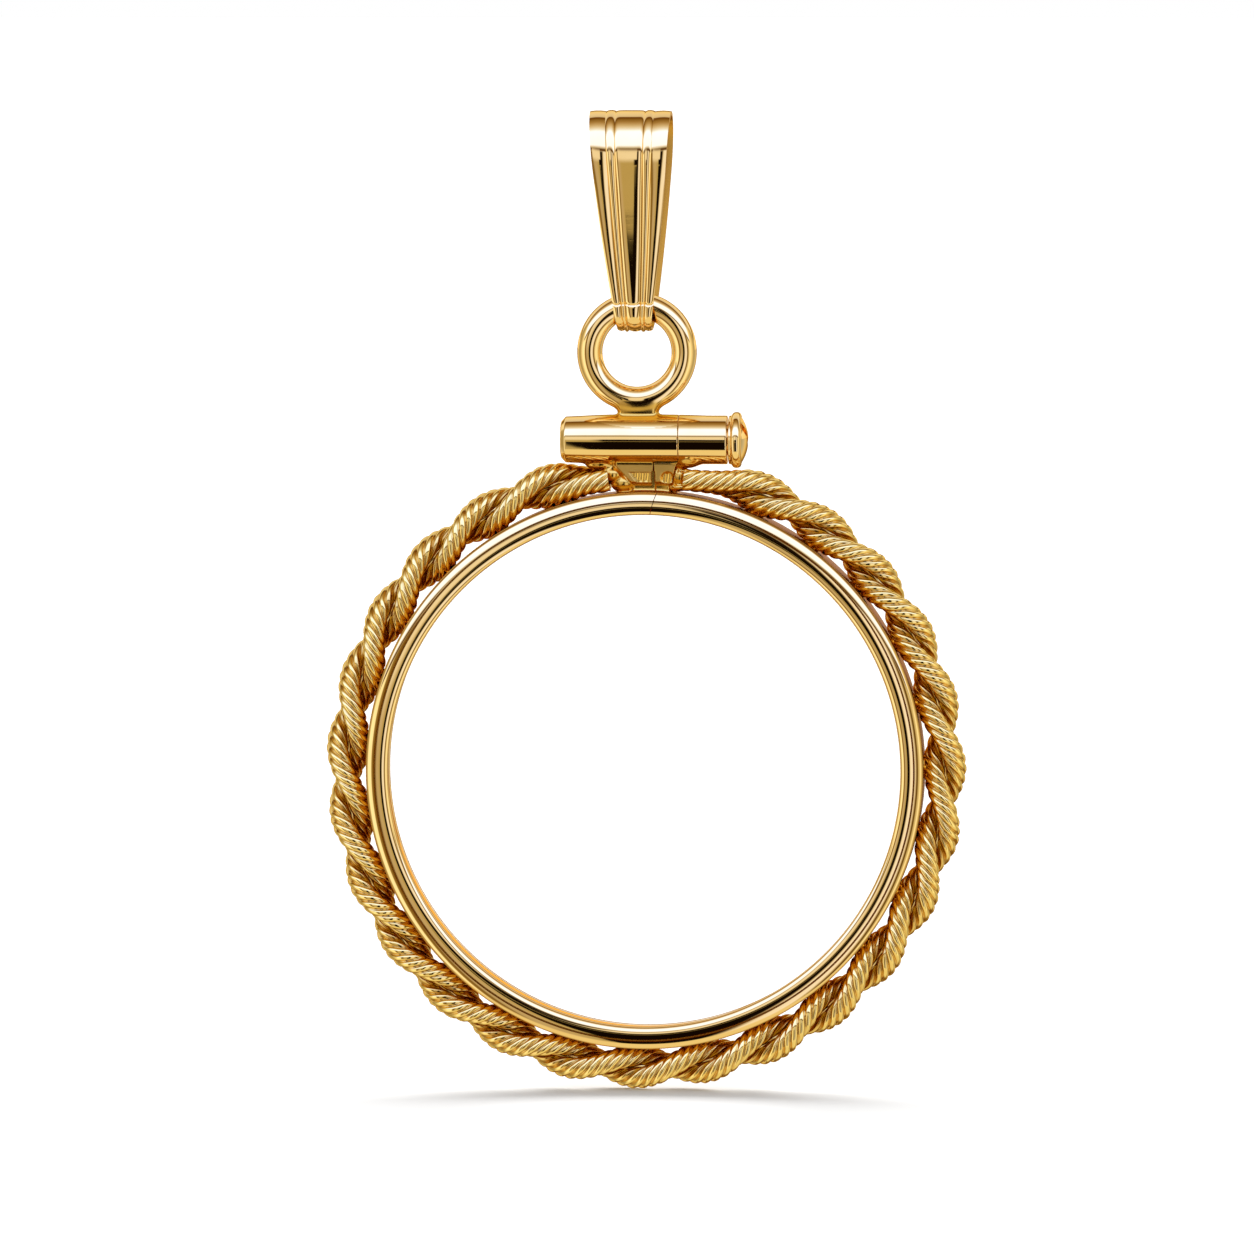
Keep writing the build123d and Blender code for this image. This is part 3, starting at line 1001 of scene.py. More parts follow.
def screw_field(x, y, z):
    head_r = (screw_high.z - screw_low.z) / 2
    around = np.arctan2(z - tube_z, y)
    turned = math.tau * x / THREAD_PITCH - around
    fade = np.clip((THREAD_END - x) / THREAD_FADE, 0, 1)
    thread = THREAD_DEPTH * (0.5 - 0.5 * np.cos(turned)) * fade
    shank = from_axis(y, z) - SHANK_R + thread
    along = np.abs(x - (screw_low.x + RIM_X) / 2) - (RIM_X - screw_low.x) / 2
    shank = keep_in(shank, along, SHANK_ROUND)
    collar = disc_field(x, y, z, COLLAR_R, HEAD_X, RIM_X + HEAD_OVERLAP, COLLAR_ROUND)
    rim = disc_field(x, y, z, head_r, RIM_X, RIM_X + RIM_T, RIM_ROUND)
    height = screw_high.x - RIM_X - RIM_T + DOME_SINK
    ball_r = (DOME_R**2 + height**2) / (2 * height)
    ball = np.sqrt((x - screw_high.x + ball_r) ** 2 + y**2 + (z - tube_z) ** 2) - ball_r
    dome = keep_in(ball, from_axis(y, z) - DOME_R, DOME_EDGE)
    dome = np.maximum(dome, RIM_X + HEAD_OVERLAP - x)
    head = blend_in(blend_in(collar, rim, RIM_FILLET), dome, HEAD_FILLET)
    turn = math.radians(SLOT_ANGLE)
    across = np.abs(y * math.cos(turn) + (z - tube_z) * math.sin(turn)) - SLOT_W / 2
    slot = np.maximum(across, screw_high.x - SLOT_DEPTH - x)
    return cut_out(blend_in(shank, head, HEAD_FILLET), slot, SLOT_EDGE)


def thread_valley_shade(x, y, z):
    """Marks the thread's valleys for painted shade."""
    valley = np.clip((SHANK_R - from_axis(y, z)) / THREAD_DEPTH, 0, 1)
    return valley * (x < HEAD_X) * THREAD_SHADE_SHARE


screw = field_object(
    "closure_screw_slotted",
    screw_field,
    (screw_low.x - ROOM, -SCREW_ROOM, tube_z - SCREW_ROOM),
    (screw_high.x + ROOM, SCREW_ROOM, tube_z + SCREW_ROOM),
    SCREW_STEP,
    {"solder": thread_valley_shade},
)
dress(screw, soldered_gold, "screw", "polished_gold", "closure_screw")


# Bail: a fluted strip folded round the crown and the toe
BAIL_STATIONS = 460
PANEL_POINTS = 19
INNER_POINTS = 21
CENTRE_BULGE = 0.075
SIDE_BULGE = 0.050
RIB_BULGE = 0.090
STEP_ANGLE = 32.0
STEP_DROP = 0.12
LEG_TILT = 4.7
CROWN_END = -4.4
YAW = 1.8
CROWN_EXTRA = 0.12
CROWN_RELIEF = 0.5
INNER_ROLL = 0.10
SCALLOP = 0.09
CREASE_DEPTH = 0.05
CREASE_W = 0.045
TOP_FLATNESS = 9.0
TOE_FLATNESS = 2.2
SIDE_FLATNESS = 2.0
CREASE_RISE = 0.22
LEAN_TOP = -0.30
LEAN_TOE = -0.12
RIB_FLATNESS = 2.5
BULGE_FLATNESS = 2
SCALLOP_REACH = 0.25
CREASE_BEND = 0.05
STEP_REACH = 1.8
RELIEF_REACH = 0.4
TOE_SPARE_ANGLE = 20
LEG_STEPS = 200
TOE_FRONT_STEPS = 60
CROWN_STEPS = 300
TOE_BACK_STEPS = 200
BAIL_SHARP_EDGE = 50
SAME_PLACE = 1e-6
WELL_INSIDE = 2


def leg(crown_side, toe_angle):
    """The inner line of one leg, from the crown's widest point down to the toe's arc."""
    low = math.radians(CROWN_END)
    start = np.array([crown_side * CROWN_R * math.cos(low), CROWN_H * (math.sin(low) - 1)])
    end = np.array([TOE_R * math.cos(toe_angle), toe_z + TOE_R * math.sin(toe_angle)])
    reach = np.linalg.norm(end - start)
    start_way = np.array([crown_side * CROWN_R * math.sin(low), -CROWN_H * math.cos(low)])
    start_way *= reach / np.linalg.norm(start_way)
    tilt = math.radians(LEG_TILT)
    end_way = np.array([-crown_side * math.sin(tilt), -math.cos(tilt)]) * reach
    u = np.linspace(0, 1, LEG_STEPS)[:, None]
    line = (2 * u**3 - 3 * u**2 + 1) * start + (u**3 - 2 * u**2 + u) * start_way
    return line + (3 * u**2 - 2 * u**3) * end + (u**3 - u**2) * end_way


def bail_path():
    """The strip's inner line in side view, from the step at the toe's front up, over and back under."""
    tilt = math.radians(LEG_TILT)
    step = math.radians(STEP_ANGLE)
    spare = math.radians(TOE_SPARE_ANGLE)
    toe_front = np.linspace(math.pi + step + spare, math.pi + tilt, TOE_FRONT_STEPS)
    low = math.radians(CROWN_END)
    crown = np.linspace(math.pi - low, low, CROWN_STEPS)
    toe_back = np.linspace(-tilt, -math.pi + step, TOE_BACK_STEPS)
    parts = [
        np.stack([TOE_R * np.cos(toe_front), toe_z + TOE_R * np.sin(toe_front)], 1),
        leg(-1, math.pi + tilt)[::-1],
        np.stack([CROWN_R * np.cos(crown), -CROWN_H + CROWN_H * np.sin(crown)], 1),
        leg(1, -tilt),
        np.stack([TOE_R * np.cos(toe_back), toe_z + TOE_R * np.sin(toe_back)], 1),
    ]
    line = np.concatenate(parts)
    run = np.concatenate([[0], np.cumsum(np.linalg.norm(np.diff(line, axis=0), axis=1))])
    fresh = np.concatenate([[True], np.diff(run) > SAME_PLACE])
    return run[fresh] - TOE_R * spare, line[fresh], TOE_R * (step - tilt)


def half_width(z):
    """Half the bail's width at each height."""
    top, bottom = bail_high.z, bail_low.z
    waist = top - WAIST_SHARE * (top - bottom)
    widths = [(CROWN_W + CROWN_EXTRA) / 2, WAIST_W / 2, TOE_W / 2]
    curve = np.polyfit([top, waist, bottom], widths, 2)
    return np.polyval(curve, z)


def panel(share, start, end, flatness):
    """A raised panel between two places across the strip: 0 at its edges, 1 at its middle."""
    off_middle = np.abs((share - (start + end) / 2) / ((end - start) / 2))
    return 1 - np.minimum(off_middle, 1) ** flatness


def relief(share, flatness):
    """Height of the outer face across the strip: three panels and two ribs, with grooves between."""
    away = np.abs(share)
    centre = panel(away, -RIB_IN, RIB_IN, flatness) * CENTRE_BULGE
    rib = panel(away, RIB_IN, RIB_OUT, RIB_FLATNESS) * RIB_BULGE
    side = panel(away, RIB_OUT, 1.0, SIDE_FLATNESS) * SIDE_BULGE
    return np.where(away < RIB_IN, centre, np.where(away < RIB_OUT, rib, side))


def across_strip():
    """Places across the outer face, close together at the panels' edges."""
    edges = [-1, -RIB_OUT, -RIB_IN, RIB_IN, RIB_OUT, 1]
    spread = (1 - np.cos(np.linspace(0, math.pi, PANEL_POINTS))) / 2
    parts = [start + (end - start) * spread[:-1] for start, end in zip(edges, edges[1:])]
    return np.concatenate([*parts, [1.0]])


def ways_out(run, line):
    """The way out of the strip's loop at each point of its line."""
    ahead = np.gradient(line, run, axis=0)
    ahead /= np.linalg.norm(ahead, axis=1, keepdims=True)
    out = np.stack([-ahead[:, 1], ahead[:, 0]], 1)
    return out * np.sign((out * (line - np.array([0, -CROWN_H - WELL_INSIDE]))).sum(1).mean())


def outer_height(share, spots, bulge, crease_at, down):
    """Height of the outer face above the strip's line, with a shallow crease across it above the toe."""
    flatness = TOP_FLATNESS + (TOE_FLATNESS - TOP_FLATNESS) * down
    raised = CROWN_RELIEF + (1 - CROWN_RELIEF) * np.clip(down / RELIEF_REACH, 0, 1)
    off_crease = spots - crease_at - CREASE_RISE + CREASE_BEND * bulge
    crease = np.exp(-((off_crease / CREASE_W) ** 2)) * CREASE_DEPTH
    return STRIP_T + (relief(share, flatness) - CENTRE_BULGE) * raised - crease


def end_thinning(from_end):
    """Share of its height that the strip loses towards the end that runs under the toe."""
    return STEP_DROP / STRIP_T * np.clip(1 - from_end / (TOE_R * STEP_REACH), 0, 1)


def bail():
    run, line, crease_at = bail_path()
    outer = across_strip()
    share = np.concatenate([outer, [1.0], np.linspace(1, -1, INNER_POINTS), [-1.0]])
    place = np.arange(len(share))
    is_outer = place < len(outer)
    is_side = (place == len(outer)) | (place == len(share) - 1)
    away = np.abs(share)
    bulge = panel(away, -RIB_IN, RIB_IN, BULGE_FLATNESS) + panel(away, RIB_OUT, 1.0, BULGE_FLATNESS)
    spots = np.linspace(0, run[-1], BAIL_STATIONS)[:, None]
    spots = spots - SCALLOP * bulge * np.clip(1 - spots / SCALLOP_REACH, 0, 1)
    pairs = (line, ways_out(run, line))
    pick = [[np.interp(spots, run, values[:, way]) for way in (0, 1)] for values in pairs]
    (depth, tall), (out_depth, out_tall) = pick
    down = np.clip((bail_high.z - tall) / (bail_high.z - toe_z), 0, 1)
    height = np.where(is_outer, outer_height(share, spots, bulge, crease_at, down), INNER_ROLL * away**3)
    height = np.where(is_side, STRIP_T / 2, height)
    height = height * (1 - end_thinning(run[-1] - spots))
    lean = LEAN_TOP + (LEAN_TOE - LEAN_TOP) * down
    wide = half_width(tall) * share
    deep = depth + out_depth * height
    yaw = math.radians(YAW)
    cos_yaw, sin_yaw = math.cos(yaw), math.sin(yaw)
    spot = [bail_x + lean + wide * cos_yaw + deep * sin_yaw, deep * cos_yaw - wide * sin_yaw]
    points = np.stack([*spot, tall + out_tall * height], -1).reshape(-1, 3)
    faces = grid_faces(BAIL_STATIONS, len(share), closed_rows=True, closed_columns=True)
    faces = outward(points, faces)
    # The strip's inner faces take the darker recess colour, painted shade inside the fold, and a rougher
    # finish
    shares = {"solder": np.tile(np.where(is_outer | is_side, 0.0, 1.0), BAIL_STATIONS)}
    return mesh_object("bail_fluted_strip", points, faces, sharp=BAIL_SHARP_EDGE, shares=shares)


dress(bail(), bail_gold, "bail", "polished_gold", "bail")


# Rope: each wire follows the twisting rule round the ring, fluted along its own lay
def wire_line(tree, size):
    """The wire's centre line, twisting round the rope's middle, with its ends led in to the ring."""
    straight = node(tree, "GeometryNodeCurvePrimitiveLine")
    even = node(tree, "GeometryNodeResampleCurve", {"Curve": straight, "Count": size["Steps"]})
    index = Term(tree, node(tree, "GeometryNodeInputIndex"))
    angle = size["Start Angle"] + (size["End Angle"] - size["Start Angle"]) * index / (size["Steps"] - 1)

    def soft_step(value):
        return (value + (value * value + size["Twist Ease"] * size["Twist Ease"]).root()) / 2

    edge = (angle - size["Start Angle"]).maths("MINIMUM", size["End Angle"] - angle)
    share = (edge / size["End Ease"]).maths("MINIMUM", 1.0)
    lift = share * share * (3 - share * 2)
    turned = soft_step(angle - size["Twist Start"]) - soft_step(angle - size["Twist End"])
    phase = (size["Twist Rate"] * turned + size["Phase"] + 90) * TO_RADIANS
    end_r = size["Touch Radius"] + size["End Lift"]
    reach = end_r + (size["Rope Radius"] - end_r) * lift - size["Twist Radius"] * phase.cos()
    around = angle * TO_RADIANS
    spot = {
        "X": reach * around.sin(),
        "Y": size["Twist Radius"] * phase.sin() * -1,
        "Z": size["Ring Height"] + reach * around.cos(),
    }
    spot = node(tree, "ShaderNodeCombineXYZ", spot)
    return node(tree, "GeometryNodeSetPosition", {"Geometry": even, "Position": spot})


def laid(tree, size, line):
    """The line with its lay: the section turns evenly along it, a little uneven in turn and thickness."""
    run = Term(tree, node(tree, "GeometryNodeSplineParameter").outputs["Length"])
    wander = {"W": run / MM + size["Seed"] * SEED_STEP, "Scale": WANDER_SCALE}
    wander = Term(tree, node(tree, "ShaderNodeTexNoise", wander, noise_dimensions="1D")) - 0.5
    wander = wander * size["Unevenness"]
    tilt = run / size["Lay Length"] * -math.tau + wander * WANDER_TURN
    turned = node(tree, "GeometryNodeSetCurveTilt", {"Curve": line, "Tilt": tilt})
    return node(tree, "GeometryNodeSetCurveRadius", {"Curve": turned, "Radius": wander + 1})


def wire_section(tree, size):
    """The wire's section: lobes with sharp hollows between them, and a share that paints shade into the
    hollows.
    """
    circle = node(tree, "GeometryNodeCurvePrimitiveCircle", {"Resolution": size["Points"], "Radius": 1.0})
    turn = Term(tree, node(tree, "GeometryNodeInputIndex")) * math.tau / size["Points"]
    ridge = (turn * size["Lobes"] / 2).sin().size()
    full = ridge.maths("POWER", CREST_POWER)
    radius = size["Wire Radius"] - size["Lobe Depth"] * (1 - full)
    corner = node(tree, "ShaderNodeCombineXYZ", {"X": radius * turn.cos(), "Y": radius * turn.sin()})
    section = node(tree, "GeometryNodeSetPosition", {"Geometry": circle, "Position": corner})
    return store(tree, section, "hollow", (1 - full).maths("POWER", HOLLOW_SHADE_POWER))


def nest_shade_share(tree, size):
    """Marks the rope's middle, where the two wires press together, for painted shade there."""
    parts = node(tree, "ShaderNodeSeparateXYZ", {0: node(tree, "GeometryNodeInputPosition")})
    across, deep, tall = (Term(tree, part) for part in parts.outputs)
    tall = tall - size["Ring Height"]
    off_centre = (across * across + tall * tall).root() - size["Rope Radius"]
    nearness = (off_centre * off_centre + deep * deep).root() / size["Wire Radius"]
    return eased(tree, nearness, NEST_SHADE_FROM, NEST_SHADE_TO)


def wire_tree():
    tree = bpy.data.node_groups.new("fluted_wire", "GeometryNodeTree")
    tree.interface.new_socket(name="Wire", in_out="OUTPUT", socket_type="NodeSocketGeometry")
    sizes = {
        "Steps": WIRE_STEPS,
        "Ring Height": ring_z * MM,
        "Touch Radius": touch_r * MM,
        "Rope Radius": (rope_r - PRESS_IN) * MM,
        "Twist Radius": TWIST_R * MM,
        "End Lift": END_LIFT * MM,
        "Start Angle": ROPE_START_ANGLE,
        "End Angle": ROPE_END_ANGLE,
        "Twist Start": TWIST_START_ANGLE,
        "Twist End": TWIST_END_ANGLE,
        "Twist Rate": twist_rate,
        "Twist Ease": TWIST_EASE_ANGLE,
        "End Ease": END_EASE_ANGLE,
        "Phase": 0.0,
        "Wire Radius": WIRE_R * MM,
        "Lobes": LOBES,
        "Points": LOBES * LOBE_POINTS,
        "Lobe Depth": LOBE_DEPTH * MM,
        "Lay Length": LAY_LENGTH * MM,
        "Unevenness": 0.05,
        "Seed": 3.0,
        "Finish": None,
    }
    size = add_inputs(tree, sizes)
    line = laid(tree, size, wire_line(tree, size))
    wire = {"Curve": line, "Profile Curve": wire_section(tree, size), "Fill Caps": True}
    wire = node(tree, "GeometryNodeCurveToMesh", wire)
    # The nest mark paints shade where the wires press together
    nested = store(tree, wire, "nest", nest_shade_share(tree, size))
    return end_tree(tree, nested, size["Finish"], "Wire")


def grown(name, tree, **values):
    """A plain mesh object from a geometry tree with these inputs."""
    seed_mesh = bpy.data.meshes.new(name + "_start")
    start = add_object(name + "_start", seed_mesh)
    modifier = start.modifiers.new("grow", "NODES")
    modifier.node_group = tree
    titles = {item.name: item.identifier for item in tree.interface.items_tree if item.in_out == "INPUT"}
    for title, value in values.items():
        modifier[titles[title.replace("_", " ")]] = value
    start.update_tag()
    graph = bpy.context.evaluated_depsgraph_get()
    graph.update()
    mesh = bpy.data.meshes.new_from_object(start.evaluated_get(graph), depsgraph=graph)
    mesh.name = name
    start.modifiers.remove(modifier)
    bpy.data.objects.remove(start)
    bpy.data.meshes.remove(seed_mesh)
    return add_object(name, mesh)


wires = wire_tree()
for letter, phase, seed in (("a", 0.0, 3.0), ("b", 180.0, 8.0)):
    wire = grown(f"rope_wire_{letter}", wires, Phase=phase, Seed=seed, Finish=twisted_gold)
    dress(wire, None, "bezel", "rope_gold", f"rope_strand_{letter}")

# A thin dark core along the rope's middle, full in its nest mark: a dark rod of painted shade between the two
# wires
core = {"Twist_Radius": 0.0, "Wire_Radius": CORE_R * MM, "Lobe_Depth": 0.0}
core = grown("rope_core_painted_shade", wires, **core, Points=CORE_POINTS, Steps=CORE_STEPS, Finish=twisted_gold)
dress(core, None, "bezel", "rope_gold")


# Solder where each wire touches the ring
SPOT_LENGTH = 0.52
SPOT_DEPTH = 0.34
SPOT_T = 0.11
SPOT_SEGMENTS, SPOT_RINGS = 28, 16
LUMP_SIZE = 0.55
LUMP_PUSH = 0.7


def solder_tree():
    tree = bpy.data.node_groups.new("solder_spots", "GeometryNodeTree")
    tree.interface.new_socket(name="Spots", in_out="OUTPUT", socket_type="NodeSocketGeometry")
    sizes = {
        "Count": int(TWIST_TURNS * 2),
        "First Angle": TWIST_START_ANGLE + 90 / twist_rate,
        "Step Angle": 180 / twist_rate,
        "Ring Radius": ring_r * MM,
        "Ring Height": ring_z * MM,
        "Length": SPOT_LENGTH * MM,
        "Depth": SPOT_DEPTH * MM,
        "Thickness": SPOT_T * MM,
        "Unevenness": 0.25,
        "Seed": 5,
        "Finish": None,
    }
    size = add_inputs(tree, sizes)
    line = node(tree, "GeometryNodeMeshLine", {"Count": size["Count"]})
    index = Term(tree, node(tree, "GeometryNodeInputIndex"))
    angle = (size["First Angle"] + size["Step Angle"] * index) * TO_RADIANS
    spot = {
        "X": size["Ring Radius"] * angle.sin(),
        "Z": size["Ring Height"] + size["Ring Radius"] * angle.cos(),
    }
    spot = node(tree, "ShaderNodeCombineXYZ", spot)
    placed = node(tree, "GeometryNodeSetPosition", {"Geometry": line, "Position": spot})
    turned = node(tree, "ShaderNodeCombineXYZ", {"Y": angle})
    drop = {"Segments": SPOT_SEGMENTS, "Rings": SPOT_RINGS, "Radius": 1.0}
    drop = node(tree, "GeometryNodeMeshUVSphere", drop)
    scale = {"X": size["Length"], "Y": size["Depth"], "Z": size["Thickness"]}
    scale = node(tree, "ShaderNodeCombineXYZ", scale)
    copies = {"Points": placed, "Instance": drop, "Rotation": turned, "Scale": scale}
    copies = node(tree, "GeometryNodeInstanceOnPoints", copies)
    plain = node(tree, "GeometryNodeRealizeInstances", {"Geometry": copies})
    here = node(tree, "GeometryNodeInputPosition")
    rough = {"Vector": here, "W": size["Seed"], "Scale": 1 / (LUMP_SIZE * MM), "Detail": 1.0}
    rough = node(tree, "ShaderNodeTexNoise", rough, noise_dimensions="4D").outputs["Color"]
    middle = node(tree, "ShaderNodeVectorMath", {0: rough, 1: (0.5, 0.5, 0.5)}, operation="SUBTRACT")
    push = {0: middle, "Scale": size["Unevenness"] * MM * LUMP_PUSH}
    push = node(tree, "ShaderNodeVectorMath", push, operation="SCALE")
    uneven = node(tree, "GeometryNodeSetPosition", {"Geometry": plain, "Offset": push})
    return end_tree(tree, uneven, size["Finish"], "Spots")


spots = grown("rope_solder_spots", solder_tree(), Finish=solder_gold)
dress(spots, None, "bezel", "polished_gold")

# Floor, seen but not mirrored in the gold
FLOOR_SIZE = 4.0
FLOOR_DROP = 0.02
FLOOR_WHITE = (0.7, 0.7, 0.7, 1)
SUN_POWER = 4.0
SUN_WIDTH = 50
SUN_TILT = -48
lowest = min(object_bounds()[0].z, cad_low.z) - FLOOR_DROP * MM
corners = [(-1, -1), (1, -1), (1, 1), (-1, 1)]
floor_mesh = bpy.data.meshes.new("floor")
floor_mesh.from_pydata([(x * FLOOR_SIZE, y * FLOOR_SIZE, lowest) for x, y in corners], [], [(0, 1, 2, 3)])
floor = add_object("floor", floor_mesh)
floor.visible_glossy = False
white = bpy.data.materials.new("white_paper")
white.use_nodes = True
paper = white.node_tree.nodes["Principled BSDF"]
paper.inputs["Base Color"].default_value = FLOOR_WHITE
paper.inputs["Roughness"].default_value = 1.0
paper.inputs["Specular IOR Level"].default_value = 0.0
floor_mesh.materials.append(white)

# A wide soft light from above, for the floor's shadow only
sun = bpy.data.lights.new("overhead", "SUN")
sun.energy = SUN_POWER
sun.angle = math.radians(SUN_WIDTH)
overhead = add_object("overhead", sun)
overhead.rotation_euler = (math.radians(SUN_TILT), 0, 0)
overhead.visible_glossy = False

# Studio: a world of soft light, by direction in degrees. 0 is the camera's side.
# Light over the top, from the front to the back: pitch, and the light's colour
TOP_LIGHT = [
    (14.0, (0.90, 0.93, 1.09)),
    (17.0, (0.12, 0.06, 0.01)),
    (19.5, (0.12, 0.06, 0.01)),
    (22.0, (0.70, 0.74, 0.85)),
    (25.5, (1.15, 1.50, 3.20)),
    (53.0, (1.20, 1.60, 3.60)),
    (58.0, (0.93, 1.15, 2.00)),
    (63.0, (0.80, 0.85, 1.15)),
    (68.0, (0.66, 0.62, 0.62)),
    (74.0, (0.52, 0.42, 0.32)),
    (81.0, (0.38, 0.26, 0.12)),
    (88.0, (0.28, 0.18, 0.06)),
    (95.0, (0.17, 0.08, 0.01)),
    (100.0, (0.17, 0.08, 0.01)),
    (104.0, (0.74, 0.71, 0.75)),
    (110.0, (0.80, 0.80, 0.91)),
    (131.0, (0.95, 0.95, 1.05)),
    (146.0, (1.05, 1.05, 1.05)),
    (152.0, (0.26, 0.16, 0.05)),
    (160.0, (0.26, 0.16, 0.05)),
    (167.0, (1.15, 1.12, 1.10)),
    (180.0, (1.08, 1.00, 0.86)),
]
# Light round the sides: azimuth, and the light's colour
SIDE_LIGHT = [
    (-180.0, (0.90, 0.78, 0.54)),
    (-160.0, (0.34, 0.23, 0.09)),
    (-125.0, (0.92, 0.84, 0.70)),
    (-112.0, (0.55, 0.52, 0.45)),
    (-100.0, (0.42, 0.36, 0.22)),
    (-88.0, (0.50, 0.44, 0.30)),
    (-74.0, (0.92, 0.90, 0.76)),
    (-62.0, (1.20, 1.25, 1.30)),
    (-46.0, (1.15, 1.18, 1.15)),
    (-42.0, (0.34, 0.25, 0.09)),
    (-33.0, (0.20, 0.12, 0.02)),
    (-27.0, (0.52, 0.47, 0.40)),
    (-18.0, (0.56, 0.50, 0.42)),
    (-10.0, (0.50, 0.44, 0.26)),
    (-2.5, (0.50, 0.44, 0.26)),
    (-0.5, (0.01, 0.005, 0.001)),
    (6.5, (0.01, 0.005, 0.001)),
    (9.0, (0.45, 0.40, 0.35)),
    (12.0, (0.95, 1.02, 1.35)),
    (26.0, (1.00, 1.08, 1.55)),
    (31.0, (0.60, 0.55, 0.45)),
    (35.5, (0.14, 0.08, 0.01)),
    (40.0, (0.14, 0.08, 0.01)),
    (44.0, (0.60, 0.54, 0.36)),
    (60.0, (1.20, 1.25, 1.25)),
    (80.0, (0.90, 0.86, 0.68)),
    (98.0, (0.52, 0.47, 0.33)),
    (113.0, (0.48, 0.45, 0.36)),
    (126.0, (0.62, 0.65, 0.75)),
    (140.0, (0.92, 0.84, 0.70)),
    (160.0, (0.34, 0.23, 0.09)),
    (180.0, (0.90, 0.78, 0.54)),
]
RAMP_TOP = 4.0
SIDES_FROM, SIDES_TO = -46.0, 17.0
SIDES_REACH_TO = 50.0
SIDES_WIDEN = (25, 45)
SIDES_SOFT_LOW, SIDES_SOFT_HIGH = 4, 1
TOP_STARTS = (14, 17)
TOP_WIDTH = 62.0
TOP_SOFT = 4
DEEP_FADE = (95, 115)
LOW_LIGHT = (0.88, 0.83, 0.62, 1)
DEEP_LIGHT = (0.24, 0.14, 0.04, 1)
FRONT_LIGHT = (0.90, 0.92, 1.05, 1)
BLACK = (0.006, 0.003, 0.001, 1)
BROWN = (0.12, 0.06, 0.01, 1)
# Small cards laid over the rest: azimuth from and to, elevation from and to, softness of each, colour
SMALL_CARDS = [
    (-30.0, -1.5, 1.0, 17.0, 1.5, 5.0, FRONT_LIGHT),
    (-6.2, 6.0, -45.0, -7.0, 0.8, 1.0, BLACK),
    (-10.5, 6.0, -46.0, -9.0, 1.0, 0.8, BLACK),
    (-6.6, 4.5, -6.0, 2.5, 0.8, 1.0, BLACK),
    (166.0, 174.0, -44.0, -5.0, 1.5, 2.5, BROWN),
    (-183.0, -171.0, -44.0, -24.0, 1.5, 2.5, BROWN),
]


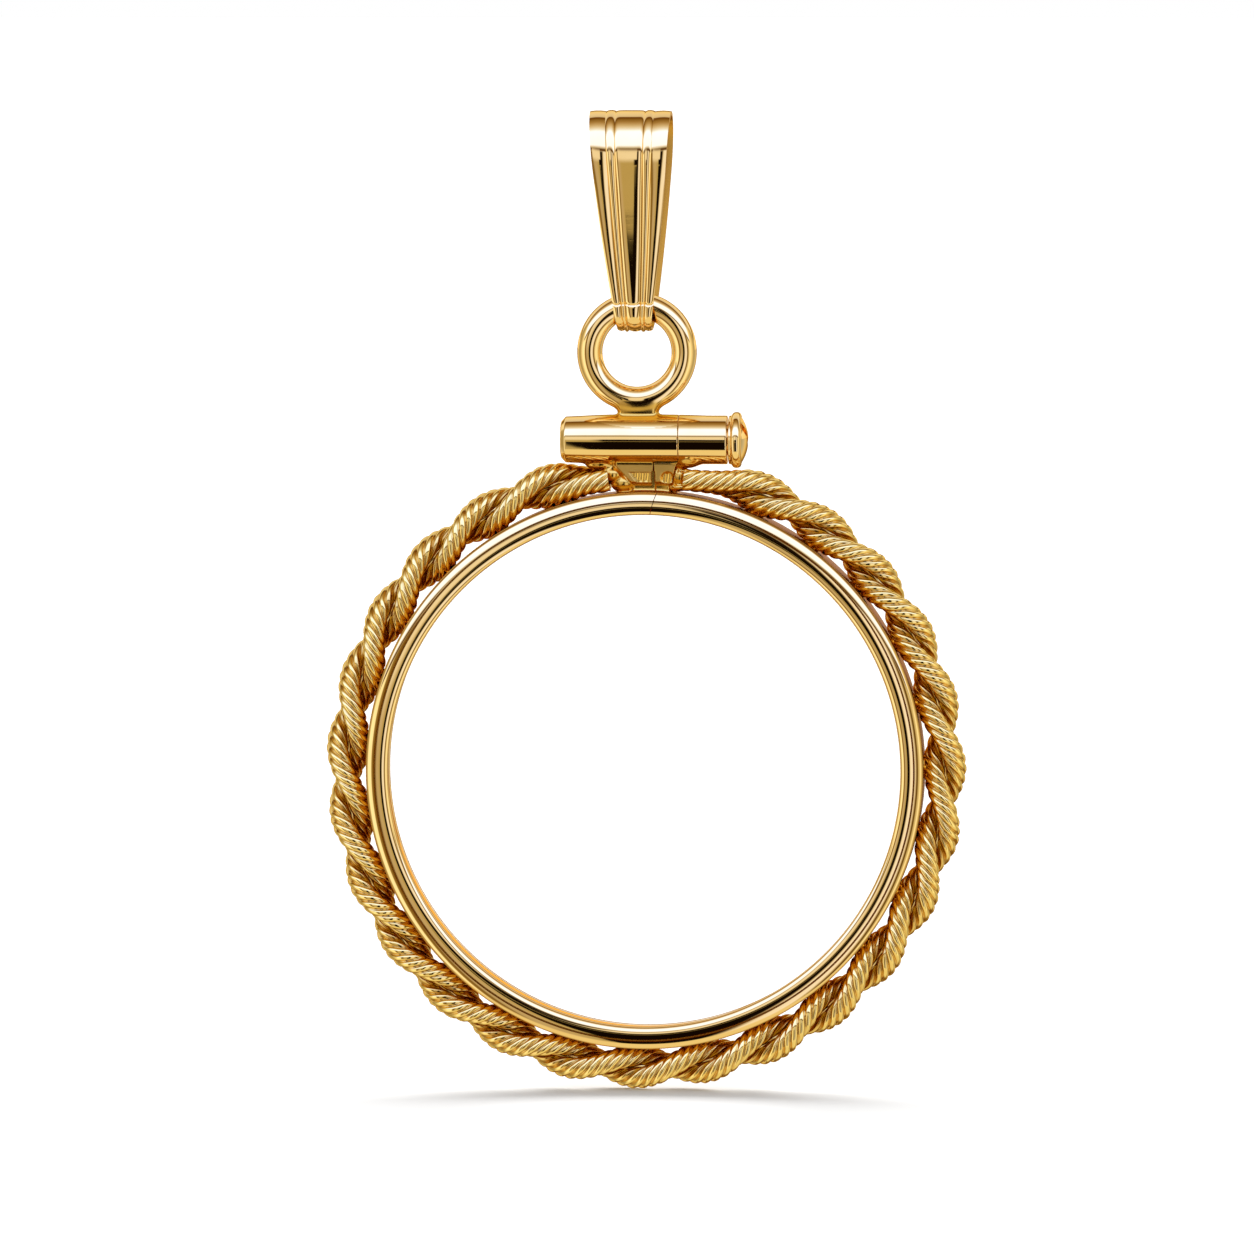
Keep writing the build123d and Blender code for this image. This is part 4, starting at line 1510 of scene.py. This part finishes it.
def studio_world():
    world = bpy.data.worlds.new("studio")
    bpy.context.scene.world = world
    world.use_nodes = True
    tree = world.node_tree
    tree.nodes.clear()
    way = node(tree, "ShaderNodeTexCoord").outputs["Generated"]
    parts = node(tree, "ShaderNodeSeparateXYZ", {0: way})
    x, y, z = (Term(tree, part) for part in parts.outputs)
    to_degrees = 180 / math.pi
    elevation = z.maths("ARCSINE") * to_degrees
    azimuth = x.maths("ARCTAN2", y * -1) * to_degrees
    pitch = z.maths("ARCTAN2", y * -1) * to_degrees
    side = x.maths("ARCSINE").size() * to_degrees

    def ease(value, low, high):
        return eased(tree, value, low, high, soft=True)

    def inside(value, low, high, soft):
        return ease(value, low - soft, low + soft) - ease(value, high - soft, high + soft)

    def ramp(value, stops):
        """The light's colour along one angle; a ramp holds no more than 1, so it is scaled."""
        made = node(tree, "ShaderNodeValToRGB", {"Fac": value / 360 + 0.5})
        elements = made.color_ramp.elements
        while len(elements) < len(stops):
            elements.new(0.5)
        for element, (angle, colour) in zip(elements, stops):
            element.position = angle / 360 + 0.5
            element.color = (*(channel / RAMP_TOP for channel in colour), 1)
        return node(tree, "ShaderNodeVectorMath", {0: made, "Scale": RAMP_TOP}, operation="SCALE")

    low_share = 1 - ease(pitch.size(), *DEEP_FADE)
    colour = mix_colours(tree, low_share, DEEP_LIGHT, LOW_LIGHT)
    reach = SIDES_TO + ease(azimuth.size(), *SIDES_WIDEN) * (SIDES_REACH_TO - SIDES_TO)
    beside = ease(elevation, SIDES_FROM - SIDES_SOFT_LOW, SIDES_FROM + SIDES_SOFT_LOW)
    beside = beside * (1 - ease(elevation - reach, -SIDES_SOFT_HIGH, SIDES_SOFT_HIGH))
    colour = mix_colours(tree, beside, colour, ramp(azimuth, SIDE_LIGHT))
    over = ease(pitch, *TOP_STARTS) * (1 - ease(side, TOP_WIDTH - TOP_SOFT, TOP_WIDTH + TOP_SOFT))
    colour = mix_colours(tree, over, colour, ramp(pitch, TOP_LIGHT))
    for left, right, low, high, soft_side, soft_up, tint in SMALL_CARDS:
        share = inside(azimuth, left, right, soft_side) * inside(elevation, low, high, soft_up)
        colour = mix_colours(tree, share, colour, tint)
    light = node(tree, "ShaderNodeBackground", {"Color": colour, "Strength": 1.0})
    plain = node(tree, "ShaderNodeBackground", {"Color": (1, 1, 1, 1), "Strength": 1.0})
    mirrored = node(tree, "ShaderNodeLightPath").outputs["Is Glossy Ray"]
    pick = node(tree, "ShaderNodeMixShader", {0: mirrored, 1: plain, 2: light})
    node(tree, "ShaderNodeOutputWorld", {"Surface": pick})


studio_world()

# Camera at the photograph's angle
AZIMUTH = 4.0
ELEVATION = 3.8
DISTANCE = 0.450
VIEW_WIDTH = 51.4
SENSOR = 36.0
AIM = (-0.77, 0.0, 5.84)
turn, rise = math.radians(AZIMUTH), math.radians(ELEVATION)
back = Vector((math.sin(turn) * math.cos(rise), -math.cos(turn) * math.cos(rise), math.sin(rise)))
lens = bpy.data.cameras.new("camera")
lens.sensor_width = SENSOR
lens.lens = SENSOR * DISTANCE / (VIEW_WIDTH * MM)
lens.clip_start = 0.01
lens.clip_end = 50.0
camera = add_object("camera", lens)
camera.location = Vector((AIM[0], AIM[1], ring_z + AIM[2])) * MM + back * DISTANCE
camera.rotation_mode = "QUATERNION"
camera.rotation_quaternion = (-back).to_track_quat("-Z", "Y")
bpy.context.scene.camera = camera
bpy.context.scene.view_settings.view_transform = "Standard"
